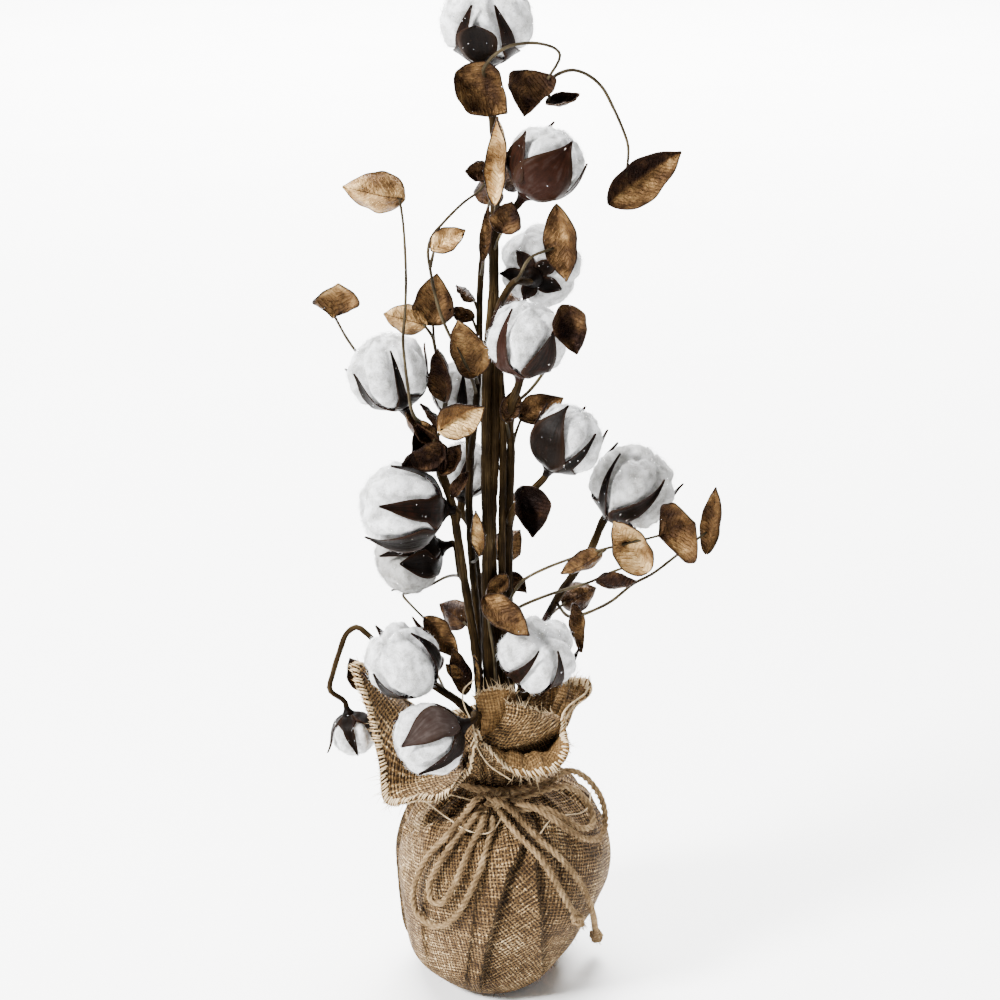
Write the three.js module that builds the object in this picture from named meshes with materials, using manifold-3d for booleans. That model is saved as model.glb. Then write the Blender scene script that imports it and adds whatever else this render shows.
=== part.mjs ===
// Cotton stem bunch: branches with cotton bolls and cupped leaves, standing in a pot of plaster that
// a square of burlap is gathered round and tied shut over with a jute bow.
// Millimetres, +Z up, the front towards -Y, the origin at the middle of the flat bottom.

import * as THREE from "three";
import { mergeVertices } from "three/addons/utils/BufferGeometryUtils.js";
import Module from "manifold-3d";

const wasm = await Module();
wasm.setup();

// Driving dimensions
const clothThick = 2;
const neckHeight = 129;
const neckTop = 138;
const neckRadius = 25;
const bagProfile = [
  [38, 0], [45, 3.5], [52.5, 15], [59, 38], [64, 60], [65.5, 77], [62.5, 94], [54.5, 110], [39, 121],
  [28.5, 125.8], [neckRadius, neckHeight],
];
const footLean = -5;
const bellyHeight = 60;
const clothColumns = 36;
const pleatCount = 9;
const pleatDepth = 2.2;
const touchGap = 0.3;

const potFloor = clothThick + touchGap;
const potHeight = 76;
const potAcross = footLean / 2;
const potFootRadius = 33;
const potRimRadius = 48;
const potWall = 3;
const fillHeight = 62;
const footHeight = 24;

const twineRadius = 1.9;
const twineSides = 8;
const tieTurns = 2;
const tieRadius = neckRadius + twineRadius + 0.5;
const endKnotRadius = 4.4;

const leafThick = 0.8;
const wireRadius = 0.9;
const burrGap = 0.6;
const burrThick = 1.2;
const carpelCount = 5;
const grooveDepth = 0.1;

// The places are read off a picture 1000 units square, taken from a little above
const eyeDistance = 1200;
const eyeTilt = THREE.MathUtils.degToRad(20);
const eyeAim = 310;
const eyeScale = 2060;
const pictureMiddle = 500;
const towardsEye = new THREE.Vector3(0, -Math.cos(eyeTilt), Math.sin(eyeTilt));

const seen = ([across, down, depth]) => {
  const slope = (pictureMiddle - down) / eyeScale;
  const sin = Math.sin(eyeTilt);
  const cos = Math.cos(eyeTilt);
  const rise = (slope * (eyeDistance + depth * cos) - depth * sin) / (cos + slope * sin);
  const distance = eyeDistance + depth * cos - rise * sin;
  return new THREE.Vector3((across - pictureMiddle) * distance / eyeScale, depth, eyeAim + rise);
};

// The finishes, one for each stuff
const finish = (color, roughness, metalness = 0) =>
  new THREE.MeshStandardMaterial({ color, roughness, metalness });
const finishes = {
  burlap: finish(0xb08a58, 0.95),
  jute: finish(0xa3855c, 0.9),
  terracotta: finish(0x8c5a3c, 0.8),
  plaster: finish(0xd8d2c6, 0.9),
  branch: finish(0x5a3f22, 0.75),
  burr: finish(0x2a1c18, 0.6),
  lint: finish(0xf3f0ec, 1),
};

const model = new THREE.Group();
const addPiece = (name, geometry, stuff) => {
  const mesh = new THREE.Mesh(geometry, finishes[stuff]);
  mesh.name = name;
  model.add(mesh);
};

// From a geometry to a solid for joining and cutting, and back
const solidOf = (geometry) => {
  const bare = geometry.clone();
  bare.deleteAttribute("normal");
  bare.deleteAttribute("uv");
  const merged = mergeVertices(bare);
  const mesh = new wasm.Mesh({
    numProp: 3,
    vertProperties: new Float32Array(merged.attributes.position.array),
    triVerts: new Uint32Array(merged.index.array),
  });
  return new wasm.Manifold(mesh);
};

const geometryOf = (solid) => {
  const mesh = solid.getMesh();
  return meshGeometry(Array.from(mesh.vertProperties), Array.from(mesh.triVerts));
};

const meshGeometry = (positions, faces) => {
  const geometry = new THREE.BufferGeometry();
  geometry.setAttribute("position", new THREE.Float32BufferAttribute(positions, 3));
  geometry.setIndex(faces);
  return geometry;
};

const joined = (geometries) =>
  geometries.map(solidOf).reduce((whole, solid) => whole.add(solid));

// A tube along a smooth curve, with a step about every so many millimetres
const tube = (points, radius, sides, spacing) => {
  const curve = new THREE.CatmullRomCurve3(points, false, "centripetal");
  const corner = (k) => 2 * Math.PI * k / sides;
  const ring = Array.from({ length: sides }, (_, k) =>
    new THREE.Vector2(radius * Math.cos(corner(k)), radius * Math.sin(corner(k))));
  const steps = Math.max(2, Math.round(curve.getLength() / spacing));
  return new THREE.ExtrudeGeometry(new THREE.Shape(ring), {
    steps, extrudePath: curve, bevelEnabled: false,
  });
};

// A closed skin over a grid of cells: an outer and an inner face, and walls round every open edge.
// outer and inner are rows of points, and present(row, column) says which cells are there.
const cellShell = (outer, inner, present, wraps) => {
  const positions = [];
  const faces = [];
  const columns = outer[0].length;
  const span = wraps ? columns : columns - 1;
  const numbers = new Map();
  const number = (layer, row, column) => {
    const place = (layer ? inner : outer)[row][column % columns];
    const key = `${layer} ${place.x.toFixed(4)} ${place.y.toFixed(4)} ${place.z.toFixed(4)}`;
    if (!numbers.has(key)) {
      numbers.set(key, positions.length / 3);
      positions.push(place.x, place.y, place.z);
    }
    return numbers.get(key);
  };
  const triangle = (a, b, c) => {
    if (a !== b && b !== c && c !== a) faces.push(a, b, c);
  };
  const quad = (a, b, c, d) => {
    triangle(a, b, c);
    triangle(a, c, d);
  };
  const there = (row, column) => {
    if (row < 0 || row >= outer.length - 1) return false;
    if (!wraps && (column < 0 || column >= span)) return false;
    return present(row, (column + span) % span);
  };
  for (let row = 0; row < outer.length - 1; row++) {
    for (let column = 0; column < span; column++) {
      if (!there(row, column)) continue;
      const corners = [[row, column], [row, column + 1], [row + 1, column + 1], [row + 1, column]];
      const front = corners.map(([r, c]) => number(0, r, c));
      const back = corners.map(([r, c]) => number(1, r, c));
      quad(...front);
      quad(back[0], back[3], back[2], back[1]);
      const beyond = [[row - 1, column], [row, column + 1], [row + 1, column], [row, column - 1]];
      beyond.forEach(([r, c], side) => {
        const next = (side + 1) % 4;
        if (front[side] === front[next] || there(r, c)) return;
        quad(front[next], front[side], back[side], back[next]);
      });
    }
  }
  return meshGeometry(positions, faces);
};

// Cotton bolls. axis points from the stem to the open end, turn is the angle of the first burr
// segment from the side that faces the eye, reach is how far up the segments go, and spread is how
// much of the way round they cover at the middle.
const bolls = [
  { at: [487, 22, 0], size: 23.5, axis: [0, -0.1, 1], turn: -36, reach: 122, spread: 0.8, name: "top" },
  {
    at: [545, 165, -9], size: 20.5, axis: [0.55, -0.1, 0.83],
    turn: 8, reach: 130, spread: 1, name: "upper_right",
  },
  {
    at: [541, 265, 18], size: 22, axis: [0.25, 0.93, 0.1],
    turn: 20, reach: 100, spread: 1, name: "turned_away",
  },
  {
    at: [526, 340, -28], size: 21.5, axis: [0.14, -0.2, 0.97],
    turn: -22, reach: 130, spread: 0.8, name: "middle_right",
  },
  { at: [390, 373, 5], size: 22.5, axis: [-0.36, -0.1, 0.93], turn: 15, reach: 112, name: "left" },
  { at: [462, 391, 31], size: 17.5, axis: [0, 0.1, 1], turn: 0, reach: 120, name: "back_upper" },
  {
    at: [566, 440, -18], size: 20, axis: [0.45, -0.1, 0.88],
    turn: -25, reach: 130, spread: 1, name: "right",
  },
  { at: [632, 487, 0], size: 24, axis: [0.5, -0.35, 0.79], turn: -30, reach: 118, name: "far_right" },
  { at: [403, 508, -15], size: 25, axis: [-0.98, -0.15, 0.1], turn: -5, reach: 112, name: "left_middle" },
  { at: [409, 556, 12], size: 20.5, axis: [-0.95, -0.1, -0.25], turn: 12, reach: 120, name: "left_lower" },
  { at: [404, 662, -30], size: 22, axis: [-0.5, -0.5, 0.7], turn: 40, reach: 118, name: "low_left" },
  {
    at: [430, 738, -55], size: 20.5, axis: [-0.88, -0.1, -0.35],
    turn: 25, reach: 130, spread: 1, name: "front",
  },
  { at: [354, 733, 12], size: 13.5, axis: [0.25, -0.1, -0.95], turn: 10, reach: 110, name: "hanging" },
  { at: [538, 655, -22], size: 22, axis: [0.1, -0.55, 0.83], turn: -45, reach: 115, name: "low_right" },
  { at: [465, 470, 38], size: 17, axis: [0.1, 0.3, 0.95], turn: 0, reach: 120, name: "back_lower" },
];

const lintFoot = 0.9;
const bollFrame = (boll) => {
  const axis = new THREE.Vector3(...boll.axis).normalize();
  const facing = towardsEye.clone().addScaledVector(axis, -towardsEye.dot(axis)).normalize();
  return { centre: seen(boll.at), axis, facing, side: axis.clone().cross(facing) };
};

// The lint's radius: a ball with a groove under each burr segment. away is the angle from the
// nearest segment's middle, rise the angle up from the stem.
const lintRadius = (boll, away, rise) => {
  const groove = Math.abs(Math.cos(away * carpelCount / 2)) ** 2;
  const belly = lintFoot + (1 - lintFoot) * Math.sin(rise);
  return boll.size * belly * (1 - grooveDepth * groove * Math.sin(rise));
};

const bollPoint = (boll, frame, angle, rise, radius) => {
  const turned = angle + THREE.MathUtils.degToRad(boll.turn);
  const across = radius * Math.sin(rise);
  return frame.centre.clone()
    .addScaledVector(frame.axis, -radius * Math.cos(rise))
    .addScaledVector(frame.facing, across * Math.cos(turned))
    .addScaledVector(frame.side, across * Math.sin(turned));
};

const bollColumns = 3 * carpelCount;
const columnAngle = 2 * Math.PI / bollColumns;
const degrees = (value) => THREE.MathUtils.degToRad(value);

const lintBody = (boll) => {
  const frame = bollFrame(boll);
  const positions = [];
  const faces = [];
  const rises = [48, 90, 126, 156].map(degrees);
  rises.forEach((rise) => {
    for (let column = 0; column < bollColumns; column++) {
      const angle = column * columnAngle;
      positions.push(...bollPoint(boll, frame, angle, rise, lintRadius(boll, angle, rise)));
    }
  });
  const foot = positions.length / 3;
  positions.push(...bollPoint(boll, frame, 0, 0, lintRadius(boll, 0, 0)));
  positions.push(...bollPoint(boll, frame, 0, Math.PI, lintRadius(boll, 0, Math.PI)));
  const last = (rises.length - 1) * bollColumns;
  for (let column = 0; column < bollColumns; column++) {
    const next = (column + 1) % bollColumns;
    faces.push(foot, next, column);
    faces.push(foot + 1, last + column, last + next);
    for (let row = 0; row < last; row += bollColumns) {
      faces.push(row + column, row + next, row + bollColumns + next);
      faces.push(row + column, row + bollColumns + next, row + bollColumns + column);
    }
  }
  return meshGeometry(positions, faces);
};

// The burr: a cup under the lint that splits into five pointed segments, which lie in the grooves
// and curl out at their tips
const burrBody = (boll) => {
  const frame = bollFrame(boll);
  const rises = [0, 48, 90, boll.reach].map(degrees);
  const narrowing = [1, 1, 0.8 * (boll.spread ?? 0.62), 0];
  const tipCurl = [0, 0, 0.2, 3.2];
  const rows = (lift) => rises.map((rise, row) =>
    Array.from({ length: bollColumns }, (_, column) => {
      const nearest = Math.round(column / 3) * 3;
      const away = (column - nearest) * columnAngle * narrowing[row];
      const radius = lintRadius(boll, away, rise) + lift + tipCurl[row];
      return bollPoint(boll, frame, nearest * columnAngle + away, rise, radius);
    }));
  const segment = (row, column) => row === 0 || column % 3 !== 1;
  return cellShell(rows(burrGap + burrThick), rows(burrGap), segment, true);
};

// Where a stem ends under a boll, and the point just before it
const stemSeat = (name) => {
  const boll = bolls.find((each) => each.name === name);
  const frame = bollFrame(boll);
  const seat = boll.size * lintFoot + burrGap + burrThick + touchGap;
  return [seat + 7, seat].map((far) => frame.centre.clone().addScaledVector(frame.axis, -far));
};

// A cupped leaf: an outline that is widest at the shoulder, its edges raised by cup and its length
// arched like a boat. turn rolls it about its own length, and 0 shows its hollow to the eye.
const leafPoint = (leaf, u, v, lift) => {
  const { base, tip, width, turn = 0, cup = 0.35, arch = 0.1, shoulder = 0.42 } = leaf;
  const foot = seen(base);
  const along = seen(tip).sub(foot);
  const length = along.length();
  along.normalize();
  const across = along.clone().cross(towardsEye).normalize();
  const face = across.clone().cross(along);
  const roll = degrees(turn);
  const side = across.clone().multiplyScalar(Math.cos(roll)).addScaledVector(face, Math.sin(roll));
  const normal = face.clone().multiplyScalar(Math.cos(roll)).addScaledVector(across, -Math.sin(roll));
  const bend = Math.log(0.5) / Math.log(shoulder);
  const half = width / 2 * Math.sin(Math.PI * v ** bend) ** 0.8;
  const raised = cup * half * Math.abs(u) - arch * length * Math.sin(Math.PI * v);
  return foot
    .addScaledVector(along, v * length)
    .addScaledVector(side, u * half)
    .addScaledVector(normal, raised + lift);
};

const leafRows = [0, 0.22, 0.48, 0.76, 1];
const leafBlade = (leaf) => {
  const rows = (lift) => leafRows.map((v) => [-1, 0, 1].map((u) => leafPoint(leaf, u, v, lift)));
  return cellShell(rows(leafThick / 2), rows(-leafThick / 2), () => true, false);
};

// The branches. Each has a trunk from the plaster up through the neck, twigs that end under the
// bolls, and leaves on wires. A point is where it is seen in the picture, and its depth.
const branches = [
  {
    name: "branch_centre", neck: [-3, 0], radius: 3.6, boll: "top",
    trunk: [[497, 690, 0], [492, 600, 0], [491, 520, 0], [494, 450, 0], [495, 380, 0], [494, 300, 0],
      [494, 230, 0], [497, 160, 2], [491, 105, 2]],
    twigs: [
      { boll: "upper_right", radius: 2, points: [[494, 246, 0], [499, 226, -3]] },
      { boll: "turned_away", radius: 2, points: [[495, 322, 0], [503, 298, -12], [516, 281, -18]] },
    ],
    leaves: [
      {
        stalk: [[490, 88, 1], [485, 74, -6]],
        base: [484, 66, -10], tip: [490, 116, -12], width: 30, turn: 8,
      },
      {
        stalk: [[488, 82, 0], [484, 68, -18], [496, 54, -23], [510, 46, -25], [535, 43, -22],
          [556, 49, -16], [560, 57, -12]],
        base: [550, 69, -8], tip: [522, 115, -10], width: 25, turn: 22, shoulder: 0.25,
      },
      { stalk: [[550, 84, -8], [549, 96, -5]], base: [546, 104, -4], tip: [582, 99, -4], width: 9, turn: 40 },
      {
        stalk: [[549, 80, -8], [560, 73, -5], [573, 70, -4], [588, 75, -4], [602, 87, -5], [613, 107, -6],
          [622, 127, -8], [628, 145, -11], [628, 160, -15]],
        grip: [-0.6, 0.34], base: [608, 204, -14], tip: [681, 152, -10], width: 23, turn: -12,
      },
      { stalk: [[495, 220, 0]], base: [493, 206, -10], tip: [497, 116, -14], width: 13, turn: 20, cup: 0.5 },
      { stalk: [[494, 252, 0], [498, 240, -8]], base: [502, 233, -12], tip: [512, 201, -14], width: 17 },
      {
        stalk: [[509, 289, -15], [519, 277, -21], [530, 258, -24]], grip: [0.6, 0.55],
        base: [556, 204, -16], tip: [569, 281, -26], width: 20, turn: -20, shoulder: 0.5,
      },
      {
        stalk: [[495, 350, 0], [502, 335, 14]],
        base: [507, 325, 20], tip: [520, 290, 44], width: 18, turn: 150,
      },
      {
        stalk: [[494, 200, 0], [500, 190, 8]],
        base: [503, 186, 12], tip: [522, 160, 34], width: 17, turn: 170,
      },
    ],
  },
  {
    name: "branch_right", neck: [6, 5], radius: 2.5, boll: "middle_right",
    trunk: [[511, 690, 6], [509, 600, 5], [509, 520, 3], [511, 450, 2], [510, 425, 0], [513, 400, -10]],
    twigs: [
      { boll: "right", radius: 2, points: [[509, 524, 3], [516, 506, -6]] },
    ],
    leaves: [
      {
        stalk: [[513, 405, -8], [532, 388, 0], [556, 352, 0], [568, 320, -12]],
        base: [562, 305, -40], tip: [577, 354, -50], width: 19, turn: 18,
      },
      { stalk: [[511, 460, 2], [515, 436, 4]], base: [518, 417, 5], tip: [563, 398, 4], width: 17, turn: 10 },
      { stalk: [[510, 440, 1]], base: [505, 421, -7], tip: [516, 388, -9], width: 12, turn: -20 },
      { stalk: [[514, 511, -3]], base: [522, 486, -12], tip: [533, 537, -24], width: 21, turn: 15, cup: 0.6 },
      { stalk: [[509, 560, 4]], base: [506, 572, 10], tip: [527, 591, 10], width: 11, turn: -10 },
      {
        stalk: [[509, 602, 5], [516, 589, -6], [525, 579, -11], [544, 569, -15], [570, 559, -19],
          [608, 548, -25], [646, 539, -29]],
        base: [659, 536, -30], tip: [695, 522, -31], width: 37, turn: 0, shoulder: 0.58,
      },
      {
        stalk: [[509, 618, 5], [518, 608, -4], [535, 600, -8], [557, 592, -11], [590, 582, -15],
          [612, 572, -19], [632, 566, -23]],
        base: [647, 573, -26], tip: [611, 519, -32], width: 21, turn: 10,
      },
      { stalk: [[598, 579, -17]], base: [596, 582, -19], tip: [636, 584, -22], width: 12, turn: 150 },
      { stalk: [[606, 549, -24]], base: [602, 553, -24], tip: [561, 574, -22], width: 13, turn: 200 },
    ],
  },
  {
    name: "branch_left", neck: [-10, -5], radius: 2.5, boll: "left",
    trunk: [[480, 690, -7], [474, 640, -8], [466, 590, -9], [459, 545, -9], [452, 505, -9], [441, 470, -8],
      [430, 440, -6], [420, 424, -3]],
    twigs: [
      { boll: "left_middle", radius: 1.8, points: [[456, 525, -9]] },
      { boll: "left_lower", radius: 1.8, points: [[464, 580, -8], [460, 572, 2]] },
    ],
    leaves: [
      {
        stalk: [[426, 433, -5], [412, 411, -20], [408, 388, -25], [405, 364, -26], [403, 340, -24],
          [405, 313, -16], [406, 280, -12], [405, 250, -10], [403, 222, -9]],
        base: [405, 199, -8], tip: [343, 187, -12], width: 23, turn: 205, shoulder: 0.36,
      },
      {
        stalk: [[419, 423, -3], [402, 412, 20], [380, 385, 36], [360, 357, 31], [346, 337, 20]],
        base: [333, 318, 12], tip: [338, 283, 8], width: 25, turn: 0, shoulder: 0.62,
      },
      { stalk: [[444, 478, -8]], base: [442, 470, -13], tip: [417, 424, -16], width: 20, turn: 30, cup: 0.5 },
      { stalk: [[436, 455, -7], [434, 442, -16]], base: [438, 431, -20], tip: [484, 406, -20], width: 21 },
      {
        stalk: [[430, 440, -6], [440, 424, 0]],
        base: [445, 402, 0], tip: [440, 348, -4], width: 17, turn: 40,
      },
      {
        stalk: [[432, 444, -6], [444, 425, 4], [446, 401, 8], [440, 364, 8], [435, 346, 7]],
        base: [432, 325, 6], tip: [437, 274, 2], width: 23,
      },
      {
        stalk: [[436, 352, 7], [432, 336, 3]],
        base: [427, 326, 0], tip: [386, 314, -2], width: 16, turn: 190,
      },
      {
        stalk: [[464, 580, -8], [459, 576, 6], [446, 577, 30], [430, 585, 40], [412, 592, 32], [403, 595, 14],
          [412, 606, -2]],
        base: [424, 617, -8], tip: [458, 657, -14], width: 15, turn: 20,
      },
      {
        stalk: [[452, 505, -9], [440, 498, 20]],
        base: [432, 494, 26], tip: [400, 470, 44], width: 20, turn: 160,
      },
    ],
  },
  {
    name: "branch_inner", neck: [-9, 7], radius: 2.1, boll: "back_upper",
    trunk: [[479, 690, 10], [477, 620, 11], [472, 560, 11], [469, 500, 11], [470, 455, 12], [467, 430, 22]],
    twigs: [
      {
        radius: 1.8,
        points: [[470, 460, 11], [475, 420, 6], [479, 350, 6], [480, 290, 7], [484, 240, 8], [487, 214, 8]],
      },
    ],
    leaves: [
      {
        stalk: [[477, 396, 6], [470, 374, -5], [459, 352, -9], [449, 334, -10], [440, 312, -10],
          [434, 290, -10], [430, 268, -9], [428, 253, -8], [431, 238, -8], [443, 223, -8], [463, 203, -8],
          [480, 190, -7], [486, 180, -6]],
        base: [488, 169, -5], tip: [465, 171, -8], width: 12, turn: 30,
      },
      { stalk: [[430, 268, -9]], base: [431, 250, -11], tip: [463, 229, -12], width: 13, turn: 20 },
      { stalk: [[478, 384, 5]], base: [477, 376, -4], tip: [458, 318, -17], width: 21, turn: -10 },
      { stalk: [[481, 276, 7]], base: [483, 262, -7], tip: [489, 206, -9], width: 7, turn: 30 },
      { stalk: [[479, 336, 6]], base: [474, 318, 3], tip: [449, 308, 0], width: 9, turn: 20 },
      { stalk: [[480, 316, 6]], base: [475, 301, 4], tip: [457, 285, 2], width: 10, turn: 60 },
      {
        stalk: [[472, 562, 11], [476, 560, -4]],
        base: [480, 556, -11], tip: [476, 511, -13], width: 9, turn: 30,
      },
      {
        stalk: [[486, 218, 8], [488, 208, 14]],
        base: [490, 204, 18], tip: [488, 172, 34], width: 16, turn: 170,
      },
    ],
  },
  {
    name: "branch_far_right", neck: [11, 11], radius: 2.3, boll: "far_right",
    trunk: [[521, 690, 17], [533, 650, 24], [546, 619, 24], [560, 594, 18], [573, 575, 13], [590, 551, 9]],
    twigs: [],
    leaves: [
      {
        stalk: [[556, 602, 20], [568, 616, 4], [581, 615, -4], [610, 602, -10], [633, 584, -14],
          [652, 574, -17], [672, 559, -19], [692, 543, -20]],
        grip: [-0.5, 0.3], base: [707, 554, -20], tip: [716, 487, -20], width: 12, turn: 30,
      },
      { stalk: [[572, 616, 1]], base: [573, 603, -5], tip: [581, 652, -9], width: 10, turn: 25 },
      {
        stalk: [[546, 619, 24], [556, 610, 34]],
        base: [562, 604, 38], tip: [596, 588, 46], width: 18, turn: 180,
      },
    ],
  },
  {
    name: "branch_low_left", neck: [-6, -13], radius: 2.2, boll: "low_left",
    trunk: [[478, 724, -13], [460, 703, -14], [444, 692, -12]],
    twigs: [
      { boll: "front", radius: 1.8, points: [[479, 730, -13], [479, 716, -26], [474, 714, -42]] },
      {
        boll: "hanging", radius: 1.6,
        points: [[460, 703, -14], [446, 692, -10], [420, 672, 4], [396, 655, 9], [377, 643, 12],
          [366, 629, 13], [357, 622, 13], [347, 628, 13], [340, 648, 13], [333, 672, 13], [330, 690, 13]],
      },
    ],
    leaves: [
      {
        stalk: [[396, 655, 9], [380, 674, 25]],
        base: [369, 690, 28], tip: [350, 657, 24], width: 15, turn: 20,
      },
      {
        stalk: [[446, 694, -12], [440, 680, 14]],
        base: [436, 672, 22], tip: [420, 640, 36], width: 18, turn: 170,
      },
    ],
  },
  {
    name: "branch_low_right", neck: [4, -10], radius: 2.1, boll: "low_right",
    trunk: [[508, 722, -11], [520, 702, -9]],
    twigs: [],
    leaves: [
      {
        stalk: [[508, 724, -11], [497, 690, -13], [494, 655, -12], [489, 622, -12]],
        base: [486, 599, -18], tip: [530, 635, -46], width: 17, turn: 20, cup: 0.3,
      },
    ],
  },
  {
    name: "branch_back", neck: [0, 13], radius: 2.1, boll: "back_lower",
    trunk: [[490, 690, 19], [485, 640, 24], [478, 580, 30], [470, 525, 36]],
    twigs: [],
    leaves: [
      {
        stalk: [[478, 580, 30], [488, 566, 40]],
        base: [494, 558, 44], tip: [520, 530, 50], width: 19, turn: 175,
      },
      {
        stalk: [[485, 640, 24], [472, 630, 36]],
        base: [466, 624, 40], tip: [440, 604, 52], width: 19, turn: 185,
      },
      {
        stalk: [[488, 665, 21], [500, 652, 34]],
        base: [505, 646, 38], tip: [524, 622, 50], width: 17, turn: 170,
      },
    ],
  },
];

const trunkSides = 6;
const twigSides = 5;
const wireSides = 4;
const trunkSpacing = 20;
const twigSpacing = 15;
const wireSpacing = 22;
const footSpread = 1.15;
const neckPoint = ([x, y]) => new THREE.Vector3(x, y, neckHeight);
const footPoint = ([x, y]) => new THREE.Vector3(x * footSpread, y * footSpread, footHeight);

const branchBody = (branch) => {
  const trunkPoints = branch.trunk.map(seen);
  const parts = [
    tube([neckPoint(branch.neck), ...trunkPoints, ...stemSeat(branch.boll)],
      branch.radius, trunkSides, trunkSpacing),
    tube([footPoint(branch.neck), neckPoint(branch.neck).lerp(footPoint(branch.neck), -0.02)],
      branch.radius, trunkSides, neckHeight),
  ];
  branch.twigs.forEach(({ points, radius, boll }) => {
    const route = [...points.map(seen), ...(boll ? stemSeat(boll) : [])];
    parts.push(tube(route, radius, twigSides, twigSpacing));
  });
  branch.leaves.forEach((leaf) => {
    const [u, v] = leaf.grip ?? [0, 0.09];
    parts.push(tube([...leaf.stalk.map(seen), leafPoint(leaf, u, v, 0)], wireRadius, wireSides, wireSpacing));
    parts.push(leafBlade(leaf));
  });
  return joined(parts);
};

// The pot is a plain tapered cup, and the plaster in it has a blind hole for each trunk
const potOuter = (height) => THREE.MathUtils.mapLinear(height, 0, potHeight, potFootRadius, potRimRadius);
const potSegments = 24;
const turned = (profile) => {
  const outline = profile.map(([radius, height]) => new THREE.Vector2(radius, potFloor + height));
  return new THREE.LatheGeometry(outline, potSegments).rotateX(Math.PI / 2).translate(potAcross, 0, 0);
};

const potBody = () => {
  const profile = [
    [0, 0], [potFootRadius, 0], [potRimRadius, potHeight], [potRimRadius - potWall, potHeight],
    [potOuter(potWall) - potWall, potWall], [0, potWall],
  ];
  return turned(profile);
};

const fillBody = () => {
  const low = potWall + touchGap;
  const side = potWall + 2 * touchGap;
  const profile = [
    [0, low], [potOuter(low) - side, low], [potOuter(fillHeight) - side, fillHeight], [0, fillHeight],
  ];
  const plug = solidOf(turned(profile));
  const hole = ({ neck, radius }) => {
    const deeper = footPoint(neck).lerp(neckPoint(neck), -0.01);
    return tube([deeper, neckPoint(neck)], radius + touchGap + 0.2, trunkSides, neckHeight);
  };
  return plug.subtract(joined(branches.map(hole)));
};

// The burlap, from the middle of the bottom up the bag to the neck, and out into the ruffle
const around = (column) => 2 * Math.PI * column / clothColumns;
const pleat = (angle) => Math.sin(pleatCount * angle + 0.6 * Math.sin(2 * angle));
const leanAt = (height) => footLean * Math.max(0, 1 - height / bellyHeight);
const bagRadius = (height) => {
  const above = bagProfile.findIndex(([, level]) => level >= height);
  if (above < 1) return above === 0 ? bagProfile[0][0] : neckRadius;
  const [[lowRadius, low], [highRadius, high]] = bagProfile.slice(above - 1, above + 1);
  return THREE.MathUtils.mapLinear(height, low, high, lowRadius, highRadius);
};

// The ruffle's rim and its middle, by direction: degrees from +X, then radius and height of each
const ruffle = [
  [0, 34, 160, 47, 196], [20, 33, 158, 40, 190], [48, 32, 154, 38, 178], [70, 32, 150, 38, 168],
  [100, 32, 148, 42, 160], [130, 34, 148, 48, 156], [156, 40, 148, 56, 164], [168, 48, 154, 74, 188],
  [178, 52, 160, 89, 204], [187, 52, 154, 82, 184], [197, 52, 148, 77, 158], [208, 52, 144, 74, 134],
  [228, 44, 144, 62, 140], [238, 34, 144, 42, 147], [249, 33, 166, 38, 181], [257, 35, 172, 42, 171],
  [267, 37, 177, 45, 164], [280, 38, 178, 49, 157], [296, 39, 178, 53, 155], [309, 40, 176, 56, 159],
  [318, 40, 172, 56, 166], [328, 38, 166, 47, 176], [338, 36, 160, 48, 188], [348, 36, 160, 55, 199],
];

// A closed cubic through the listed directions
const ruffleAt = (angle, entry) => {
  const count = ruffle.length;
  const wrapped = (THREE.MathUtils.radToDeg(angle) + 360) % 360;
  let after = ruffle.findIndex(([direction]) => direction > wrapped);
  if (after < 0) after = count;
  const place = (k) => {
    const turns = Math.floor(k / count);
    return [ruffle[k - turns * count][0] + 360 * turns, ruffle[k - turns * count][entry]];
  };
  const [[a, va], [b, vb], [c, vc], [d, vd]] = [-2, -1, 0, 1].map((step) => place(after + step));
  const t = (wrapped - b) / (c - b);
  const slopeB = (vc - va) / (c - a) * (c - b);
  const slopeC = (vd - vb) / (d - b) * (c - b);
  const t2 = t * t;
  const t3 = t2 * t;
  return (2 * t3 - 3 * t2 + 1) * vb + (t3 - 2 * t2 + t) * slopeB
    + (3 * t2 - 2 * t3) * vc + (t3 - t2) * slopeC;
};

const ruffleRows = [0.25, 0.5, 0.75, 1];
const clothRow = (radius, height, ripple) => (angle) => [radius + ripple * pleat(angle), height];
const clothRows = [
  ...bagProfile.map(([radius, height], row) =>
    clothRow(radius, height, row < 2 || row > bagProfile.length - 2 ? 0 : pleatDepth)),
  clothRow(neckRadius, neckTop, 0),
  ...ruffleRows.map((part) => (angle) => {
    const rest = 1 - part;
    const blend = (start, middle, rim) =>
      rest * rest * start + 2 * rest * part * ruffleAt(angle, middle) + part * part * ruffleAt(angle, rim);
    return [blend(neckRadius, 1, 3), blend(neckTop, 2, 4)];
  }),
];

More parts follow.
